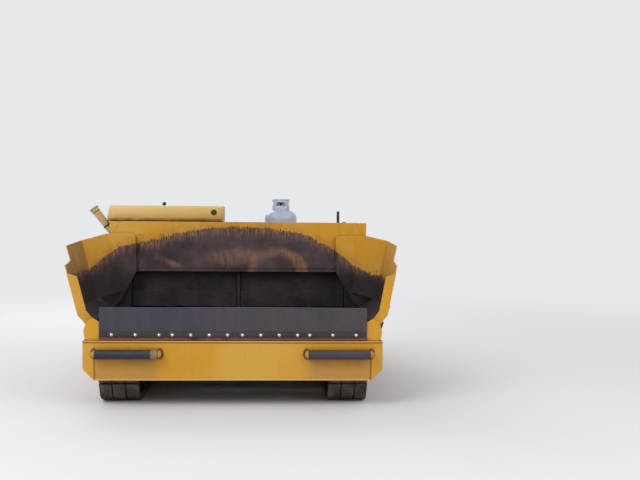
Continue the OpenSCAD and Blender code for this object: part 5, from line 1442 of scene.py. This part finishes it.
def add_console(name, tall):
    """A console: its shell, what stands on it, and the door in the operator's side with its two locks."""
    middle, y, top = CONSOLE_PLACE[name], CONSOLE_FRONT, CONSOLE_TOP
    depth, face = TOP_DEPTH, y + 0.150
    outline = [(y, DECK), (face, DECK), (face, top - 0.210), (y + depth, top - 0.150),
               (y + depth, top - TOP_FALL), (y, top)]
    bm = bmesh.new()
    prism(bm, outline, 0, middle - CONSOLE_HALF, middle + CONSOLE_HALF, 0.006, 3)
    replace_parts(add_piece(name + "_shell", bm, "paint", crease=40), name)
    add_instruments(name, tall)
    add_levers(name, tall)
    bm = bmesh.new()
    foot, head = DECK + 0.045, top - 0.235
    corners = ((-0.165, foot), (0.165, foot), (0.165, head), (-0.165, head))
    door = [(middle + x, face + 0.0005, z) for x, z in corners]
    tube(bm, rounded(door, 0.02, 5, True), 0.0024, 6, True)
    add_piece(name + "_door", bm, "paint")
    bm = bmesh.new()
    for dx in (-0.14, 0.14):
        lathe(bm, button(0.013, 0.005, 0.009, 0.003), (middle + dx, face, DECK + 0.21), (0, 1, 0), 24)
    add_piece(name + "_locks", bm, "bolt")


RAIL_RADIUS = 0.017
RAIL_FRONT, RAIL_BACK = 0.190, 0.740
RAIL_X = 1.070
# The middle bar's height under the upper one
RAIL_DROP = 0.270
RAIL_PLATE, RAIL_BOLTS, RAIL_SHEET = 0.036, 0.026, 0.008


def add_rails():
    """Handrails bent from one tube on each side, with a middle bar, foot plates and bolts."""
    bm, plates, bolts = bmesh.new(), bmesh.new(), bmesh.new()
    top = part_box("handrails")[1].z - RAIL_RADIUS
    front, back, middle = RAIL_FRONT, RAIL_BACK, top - RAIL_DROP
    for side in SIDES.values():
        x = side * RAIL_X
        path = [(x, front, DECK + 0.002), (x, front, top), (x, back, top), (x, back, DECK + 0.002)]
        tube(bm, rounded(path, 0.085, 10), RAIL_RADIUS, 20)
        tube(bm, [(x, front + 0.012, middle), (x, back - 0.012, middle)], RAIL_RADIUS * 0.94, 18)
        for y in (front, back):
            weld_ring(bm, (x, y, DECK + 0.0085), RAIL_RADIUS + 0.001, 0.003)
            box(plates, (x - RAIL_PLATE, y - RAIL_PLATE, DECK),
                (x + RAIL_PLATE, y + RAIL_PLATE, DECK + RAIL_SHEET), 0.0015)
            for dx in (-RAIL_BOLTS, RAIL_BOLTS):
                for dy in (-RAIL_BOLTS, RAIL_BOLTS):
                    bolt(bolts, (x + dx, y + dy, DECK + RAIL_SHEET), (0, 0, 1), 0.011)
        for y, way in ((front + 0.017, 1), (back - 0.017, -1)):
            weld_ring(bm, (x, y, middle), RAIL_RADIUS, 0.0025, (0, way, 0))
    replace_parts(add_piece("rail_tubes", bm, "paint", crease=45), "handrails")
    add_piece("rail_plates", plates, "paint")
    add_piece("rail_bolts", bolts, "bolt")


# Cushions

SEAT_X, SEAT_Y = 0.760, 0.650
SEAT_HALF = (0.215, 0.205)
PAD_LOW, PAD_HIGH = 1.1143, 1.205
BACK_LOW, BACK_HIGH = 1.225, 1.452
BACK_THICK, BACK_LEAN = 0.0526, 0.0308 / 0.227
VOXEL = 0.0075
SWELL = 0.024
# How far a block stands inside the cushion's size before it is blown up
INSET = 0.014
WELT_INSET = 0.016


def points_of(obj):
    return np.array([v.co for v in obj.data.vertices])


def set_points(obj, points):
    obj.data.vertices.foreach_set("co", points.ravel())
    obj.data.update()


def cushion_form(name, outline, half):
    """A block with soft edges, drawn in Y and Z and made thick in X, blown up as a cushion."""
    bm = bmesh.new()
    prism(bm, outline, 0, -half + INSET, half - INSET, 0.020, 3)
    bmesh.ops.recalc_face_normals(bm, faces=bm.faces)
    mesh = bpy.data.meshes.new(name)
    bm.to_mesh(mesh)
    bm.free()
    form = add_object(name, mesh)
    remesh = form.modifiers.new("even", "REMESH")
    remesh.mode = "VOXEL"
    remesh.voxel_size = VOXEL
    apply_modifiers(form)
    blow_up(form)
    return form


def blow_up(obj, frames=20):
    """Swells a block into a cushion by simulating its cover as cloth under pressure."""
    rest = points_of(obj)
    cloth = obj.modifiers.new("cover", "CLOTH")
    settings = cloth.settings
    settings.quality = 5
    settings.mass = 0.4
    settings.use_pressure = True
    settings.uniform_pressure_force = 4.0
    settings.effector_weights.gravity = 0.0
    settings.tension_stiffness = 12
    settings.compression_stiffness = 12
    settings.bending_stiffness = 0.6
    cloth.point_cache.frame_start = 1
    cloth.point_cache.frame_end = frames
    scene = bpy.context.scene
    for step in range(1, frames + 1):
        scene.frame_set(step)
        bpy.context.view_layer.update()
    swollen = points_of(obj.evaluated_get(bpy.context.evaluated_depsgraph_get()))
    obj.modifiers.clear()
    shift = swollen - rest
    length = np.linalg.norm(shift, axis=1, keepdims=True)
    shift *= np.minimum(1.0, SWELL / np.maximum(length, 1e-9))
    set_points(obj, rest + shift)
    scene.frame_set(1)


def sew(obj, lines, depth=0.0075, width=0.009):
    """Sewn channels: each line is (axis, place, facing), pressed into the side that faces that way."""
    co = points_of(obj)
    normals = np.array([v.normal for v in obj.data.vertices])
    for axis, place, facing in lines:
        facing = np.array(facing)
        towards = np.clip((normals @ facing - 0.3) / 0.5, 0, 1)
        dip = depth * np.exp(-((co[:, axis] - place) / width) ** 2) * towards
        co -= facing * dip[:, None]
    set_points(obj, co)


def add_cushions():
    """Both seats: a seat cushion and a backrest cushion, blown up once and set on each side."""
    half_w, half_d = SEAT_HALF
    front, rear = -half_d + INSET, half_d - INSET
    seat = cushion_form("seat_form", [
        (front, PAD_LOW + 0.006), (rear, PAD_LOW + 0.006), (rear, PAD_HIGH - 0.012),
        (-half_d + 0.06, PAD_HIGH - 0.020), (front, PAD_HIGH - 0.034)], half_w)
    face = half_d + 0.005
    foot, head = BACK_LOW + 0.012, BACK_HIGH - 0.012
    back = cushion_form("back_form", [
        (face + 0.013, foot), (face + BACK_THICK - 0.006, foot),
        (face + BACK_THICK - 0.004 + BACK_LEAN * 0.205, head), (face + 0.024 + BACK_LEAN * 0.13, head)],
        half_w - 0.010)
    # The seat's swollen sides go back into the space that its solid holds
    set_points(seat, np.clip(points_of(seat), (-half_w - 0.004, -half_d - 0.006, PAD_LOW + 0.0002),
                             (half_w + 0.004, half_d + 0.006, PAD_HIGH + 1)))
    for form in (seat, back):
        smooth = form.modifiers.new("fine", "SUBSURF")
        smooth.levels = smooth.render_levels = 1
        apply_modifiers(form)
    up, ahead = (0, 0, 1), (0, -1, 0)
    sew(seat, [(0, -0.125, up), (0, 0.125, up), (1, -0.02, up)])
    sew(back, [(0, -0.115, ahead), (0, 0.115, ahead), (2, 1.345, ahead)])
    for label, side in SIDES.items():
        for form, kind in ((seat, "seat_cushion"), (back, "back_cushion")):
            mesh = form.data.copy()
            mesh.transform(Matrix.Translation((side * SEAT_X, SEAT_Y, 0)))
            mesh.shade_smooth()
            mesh.materials.clear()
            mesh.materials.append(LOOKS["vinyl"])
            cushion = add_object(f"{kind}_{label}", mesh)
            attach(cushion, "chassis")
            if label == "left" and kind == "seat_cushion":
                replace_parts(cushion, "seat_pads")
            add_piping(cushion, flat=form is seat)
    for form in (seat, back):
        bpy.data.objects.remove(form)


def add_piping(cushion, flat):
    """A welt sewn round the cushion where its top or its front meets its side."""
    co = points_of(cushion)
    low, high = co.min(0), co.max(0)
    up = 1 if flat else 2
    a, b = ((low[axis] + WELT_INSET, high[axis] - WELT_INSET) for axis in (0, up))
    way = Vector((0, 0, -1)) if flat else Vector((0, 1, 0))
    # The corners stand off the face that the welt is laid on
    level = high[2] + 0.1 if flat else low[1] - 0.1
    corners = [(x, y, level) if flat else (x, level, y)
               for x, y in ((a[0], b[0]), (a[1], b[0]), (a[1], b[1]), (a[0], b[1]))]
    loop = rounded(corners, 0.035, 8, True)
    tree = surface_of(cushion.name)
    points = []
    for p, q in zip(loop, loop[1:] + loop[:1]):
        parts = max(1, int((q - p).length / 0.015))
        for k in range(parts):
            spot, normal = tree.ray_cast(p.lerp(q, k / parts), way)[:2]
            if spot:
                points.append(spot + normal * 0.0008)
    bm = bmesh.new()
    tube(bm, points, 0.0034, 8, True)
    add_piece(cushion.name + "_welt", bm, "vinyl", crease=60)


def add_seat_bolts():
    bm = bmesh.new()
    for side in SIDES.values():
        for a, b in around(6, 0.105, 0.5):
            bolt(bm, (side * SEAT_X + a, SEAT_Y + b, DECK + 0.014), (0, 0, 1), 0.014)
    add_piece("seat_bolts", bm, "bolt")


# Tracks

TRACK_X = 0.945
IDLER_Y, SPROCKET_Y = -1.500, 0.280
WHEEL_Z = 0.235
WHEELS = 5
# The track rollers: the first one's place behind the idler, and the height of all
ROLLER_START, ROLLER_Z = 0.260, 0.110
FRAME_BOLTS = (-1.36, -1.18, -0.72, -0.50, -0.04, 0.14)


def add_track_details(label):
    """Bolts and caps on the track's idler, sprocket and rollers, and on its frame."""
    side = SIDES[label]
    out = (side, 0, 0)
    face, hub = side * (TRACK_X + 0.105), side * (TRACK_X + 0.120)
    caps, bolts = bmesh.new(), bmesh.new()
    lathe(caps, [(0, 0), (0.060, 0), (0.060, 0.010), (0.045, 0.016), (0.020, 0.017), (0, 0.017)],
          (face, IDLER_Y, WHEEL_Z), out, 36)
    lathe(caps, [(0, 0), (0.078, 0), (0.078, 0.006), (0.060, 0.009), (0.040, 0.018), (0, 0.018)],
          (hub, SPROCKET_Y, WHEEL_Z), out, 40)
    for a, b in around(9, 0.069):
        bolt(bolts, (hub + side * 0.006, SPROCKET_Y + a, WHEEL_Z + b), out, 0.011, False)
    for a, b in around(6, 0.052):
        bolt(bolts, (face + side * 0.010, IDLER_Y + a, WHEEL_Z + b), out, 0.010, False)
    span = SPROCKET_Y - IDLER_Y - 2 * ROLLER_START
    for i in range(WHEELS):
        y = IDLER_Y + ROLLER_START + i * span / (WHEELS - 1)
        lathe(caps, button(0.024, 0.011, 0.017, 0.006), (face, y, ROLLER_Z), out, 28)
        bolt(bolts, (face + side * 0.011, y, ROLLER_Z), out, 0.014, False)
    for y in FRAME_BOLTS:
        bolt(bolts, (face, y, 0.312), out, 0.020)
    add_piece(f"track_caps_{label}", caps, "dark")
    add_piece(f"track_bolts_{label}", bolts, "bolt_dull")


# Screed

SCREED_LOW, SCREED_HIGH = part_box("screed_body")
ARM_OUTSIDE = 1.179
TOW_PIN = (1.191, -0.190, 0.450)


def add_screed_details():
    """Bolt rows and welds on the screed and its arms, and the heads of the tow pins."""
    bolts = bmesh.new()
    for x in [-1.12 + 0.28 * i for i in range(9)]:
        bolt(bolts, (x, SCREED_LOW.y, 0.330), (0, -1, 0), 0.016)
        bolt(bolts, (x, SCREED_HIGH.y, 0.300), (0, 1, 0), 0.014)
    welds, heads = bmesh.new(), bmesh.new()
    for side in SIDES.values():
        out, arm = (side, 0, 0), side * ARM_OUTSIDE
        for y in (1.36, 1.46, 1.56):
            for z in (0.16, 0.33):
                bolt(bolts, (side * 1.2200, y, z), out, 0.016)
        for y in (1.33, 1.42, 1.55, 1.61):
            bolt(bolts, (arm, y, 0.470), out, 0.018)
        for y in (1.300, 1.610):
            weld(welds, (side * 1.124, y, 0.391), (side * 1.190, y, 0.391))
        weld(welds, (arm, 1.30, 0.4065), (arm, 1.60, 0.4065))
        lathe(heads, button(0.036, 0.012, 0.028, 0.008), (side * TOW_PIN[0], *TOW_PIN[1:]), out, 36)
    add_piece("screed_bolts", bolts, "bolt_dull", "screed")
    add_piece("screed_welds", welds, "paint", "screed", crease=60)
    add_piece("tow_pin_heads", heads, "pin_dark", crease=60)


SCREW_X, SCREW_Y = 1.157, 1.480
SLEEVE_LOW, SLEEVE_HIGH = 0.516, 0.926
CRANK_Z = 1.470
CRANK_LEN = 0.126
CRANK_TURN = math.radians(52)
GRIP_TOP = 1.610
THREAD_TURNS, THREAD_CREST, THREAD_ROOT = 62, 0.0116, 0.0094
GRIP_RIDGES = 12


def add_depth_screws():
    """Each depth screw: its sleeve with a nut, the threaded screw, the crank and its black grip."""
    low, high, crank, grip = SLEEVE_LOW, SLEEVE_HIGH, CRANK_Z, GRIP_TOP
    sleeves, threads, cranks, grips = (bmesh.new() for _ in range(4))
    body = [(0, low), (0.024, low), (0.024, high - 0.04), (0.026, high - 0.038), (0.026, high),
            (0.0125, high), (0.0125, high - 0.01), (0, high - 0.01)]
    nut = [(0, high - 0.002), (0.021, high - 0.002), (0.021, high + 0.022), (0.018, high + 0.026),
           (0, high + 0.026)]
    ends = 2 * THREAD_TURNS
    length = crank - 0.070 - high
    screw = [(THREAD_CREST if k % 2 else THREAD_ROOT, high + length * k / ends) for k in range(ends + 1)]
    screw = [(0.0, high), *screw, (THREAD_CREST, crank - 0.068), (THREAD_CREST, crank + 0.010),
             (0.0, crank + 0.012)]
    hub = [(0, crank - 0.020), (0.019, crank - 0.020), (0.019, crank + 0.016), (0.016, crank + 0.019),
           (0, crank + 0.019)]
    foot, span = crank + 0.006, grip - crank - 0.006
    handle = [(0, foot), (0.0125, foot), (0.0150, foot + 0.006)]
    for k in range(1, GRIP_RIDGES):
        ridge = (0.0011 if k % 2 else -0.0004) + 0.0008 * math.sin(math.pi * k / GRIP_RIDGES)
        handle.append((0.0148 + ridge, foot + 0.006 + (span - 0.018) * k / GRIP_RIDGES))
    handle += [(0.0155, grip - 0.012), (0.0150, grip - 0.004), (0.010, grip), (0, grip)]
    for side in SIDES.values():
        x, y = side * SCREW_X, SCREW_Y
        end = (x - side * CRANK_LEN * math.cos(CRANK_TURN), y - CRANK_LEN * math.sin(CRANK_TURN))
        lathe(sleeves, body, (x, y, 0))
        weld_ring(sleeves, (x, y, low + 0.002), 0.025, 0.004)
        lathe(threads, nut, (x, y, 0), steps=6)
        lathe(threads, screw, (x, y, 0), steps=20)
        lathe(cranks, hub, (x, y, 0), steps=28)
        tube(cranks, [(x, y, crank), (*end, crank)], 0.009, 16)
        tube(cranks, [(*end, crank - 0.009), (*end, grip - 0.006)], 0.007, 14)
        lathe(grips, handle, (*end, 0), steps=28)
    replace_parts(add_piece("screw_sleeves", sleeves, "paint", "screed", crease=40), "depth_screws")
    add_piece("screw_threads", threads, "steel", "screed", crease=60)
    add_piece("screw_cranks", cranks, "steel", "screed", crease=40)
    add_piece("screw_grips", grips, "knob", "screed", crease=50)


WALK_FRONT, WALK_FLOOR = 1.650, 0.420
WALK_BARS, WALK_TEETH = 60, 13
# The brackets stand on the screed's top and reach to its rear edge
BRACKET_X = (-0.700, 0.0, 0.700)
SCREED_TOP, SCREED_END = 0.390, 1.680


def add_walkway():
    """The walkway: serrated bars and cross rods in their frame, on three brackets."""
    low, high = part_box("screed_walkway")
    floor, top, front = WALK_FLOOR, high.z, WALK_FRONT
    bm = bmesh.new()
    for y in (front + 0.015, high.y - 0.015):
        box(bm, (low.x, y - 0.015, floor), (high.x, y + 0.015, top), 0.002)
    for x in (low.x + 0.010, high.x - 0.010):
        box(bm, (x - 0.010, front, floor), (x + 0.010, high.y, top), 0.002)
    a, b = front + 0.028, high.y - 0.028
    teeth = 2 * WALK_TEETH
    outline = [(a, floor + 0.004), (b, floor + 0.004)]
    outline += [(b - (b - a) * k / teeth, top - (0.004 if k % 2 else 0.0)) for k in range(teeth + 1)]
    for i in range(WALK_BARS):
        x = low.x + 0.028 + (high.x - low.x - 0.056) * i / (WALK_BARS - 1)
        prism(bm, outline, 0, x - 0.002, x + 0.002)
    for y in (front + 0.080, front + 0.145, front + 0.210):
        tube(bm, [(low.x + 0.01, y, top - 0.010), (high.x - 0.01, y, top - 0.010)], 0.0035, 6)
    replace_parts(add_piece("walkway_grate", bm, "grate", "screed", crease=40), "screed_walkway")
    bm = bmesh.new()
    outline = [(SCREED_END - 0.140, SCREED_TOP), (SCREED_END - 0.062, SCREED_TOP),
               (SCREED_END, floor - 0.008), (high.y - 0.060, floor), (SCREED_END - 0.140, floor)]
    for x in BRACKET_X:
        prism(bm, outline, 0, x - 0.008, x + 0.008, 0.0015)
    add_piece("walkway_brackets", bm, "screed", "screed")


# The outer face of each extension's end gate, and how far the grab handle stands out of it
GATE_X, HANDLE_REACH = 1.240, 0.034


def add_extension_details(label):
    """Bolts and the grab handle of each extension's end gate."""
    side = SIDES[label]
    body = f"extension_{label}"
    gate = side * GATE_X
    bolts, handle = bmesh.new(), bmesh.new()
    for y in (1.72, 1.88):
        for z in (0.16, 0.30):
            bolt(bolts, (gate, y, z), (side, 0, 0), 0.016)
    for y in (1.08, 1.20, 1.34, 1.48):
        bolt(bolts, (gate, y, 0.135), (side, 0, 0), 0.014)
    add_piece(f"extension_bolts_{label}", bolts, "bolt_dull", body)
    out = side * (GATE_X + HANDLE_REACH)
    path = [(gate, 1.24, 0.27), (out, 1.24, 0.27), (out, 1.42, 0.27), (gate, 1.42, 0.27)]
    tube(handle, rounded(path, 0.020), 0.007, 14)
    add_piece(f"extension_handle_{label}", handle, "bolt_dull", body)


# Bumper and rollers

BUMPER_FACE = -1.850
ROLLER_X = 0.860
# The ears' inner and outer faces and the pins' heads, from the middle of a roller
EAR_INNER, EAR_OUTER, PIN_HEAD = 0.252, 0.268, 0.280


def add_roller_details():
    """Weld beads round the rollers' ears, and the heads of their pins."""
    low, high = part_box("push_roller_left")
    y, z = (low.y + high.y) / 2, (low.z + high.z) / 2
    bm, pins = bmesh.new(), bmesh.new()
    for middle in (-ROLLER_X, ROLLER_X):
        for way in (-1, 1):
            for x in (middle + way * EAR_INNER, middle + way * EAR_OUTER):
                weld(bm, (x, BUMPER_FACE - 0.001, z - 0.026), (x, BUMPER_FACE - 0.001, z + 0.026), 0.003)
            lathe(pins, button(0.0205, 0.003, 0.018, 0.001), (middle + way * PIN_HEAD, y, z), (way, 0, 0), 28)
    add_piece("bumper_welds", bm, "weld", crease=60)
    add_piece("roller_pin_caps", pins, "pin_dark")


# The whole machine

add_camera()
add_studio()
dress_nodes()
add_flap()
add_flap_bars()
add_hopper_welds()
add_hopper_seals()
add_wing_welds()
add_hood()
add_cowl_details()
add_filler_cap()
add_bottle()
add_tank_details()
add_deck_tread()
for console in CONSOLE_PLACE:
    add_console(console, tall=console == "console_left")
add_rails()
add_cushions()
add_seat_bolts()
for label in SIDES:
    add_track_details(label)
    add_extension_details(label)
add_screed_details()
add_depth_screws()
add_walkway()
add_roller_details()

bpy.context.scene.view_settings.view_transform = "Standard"
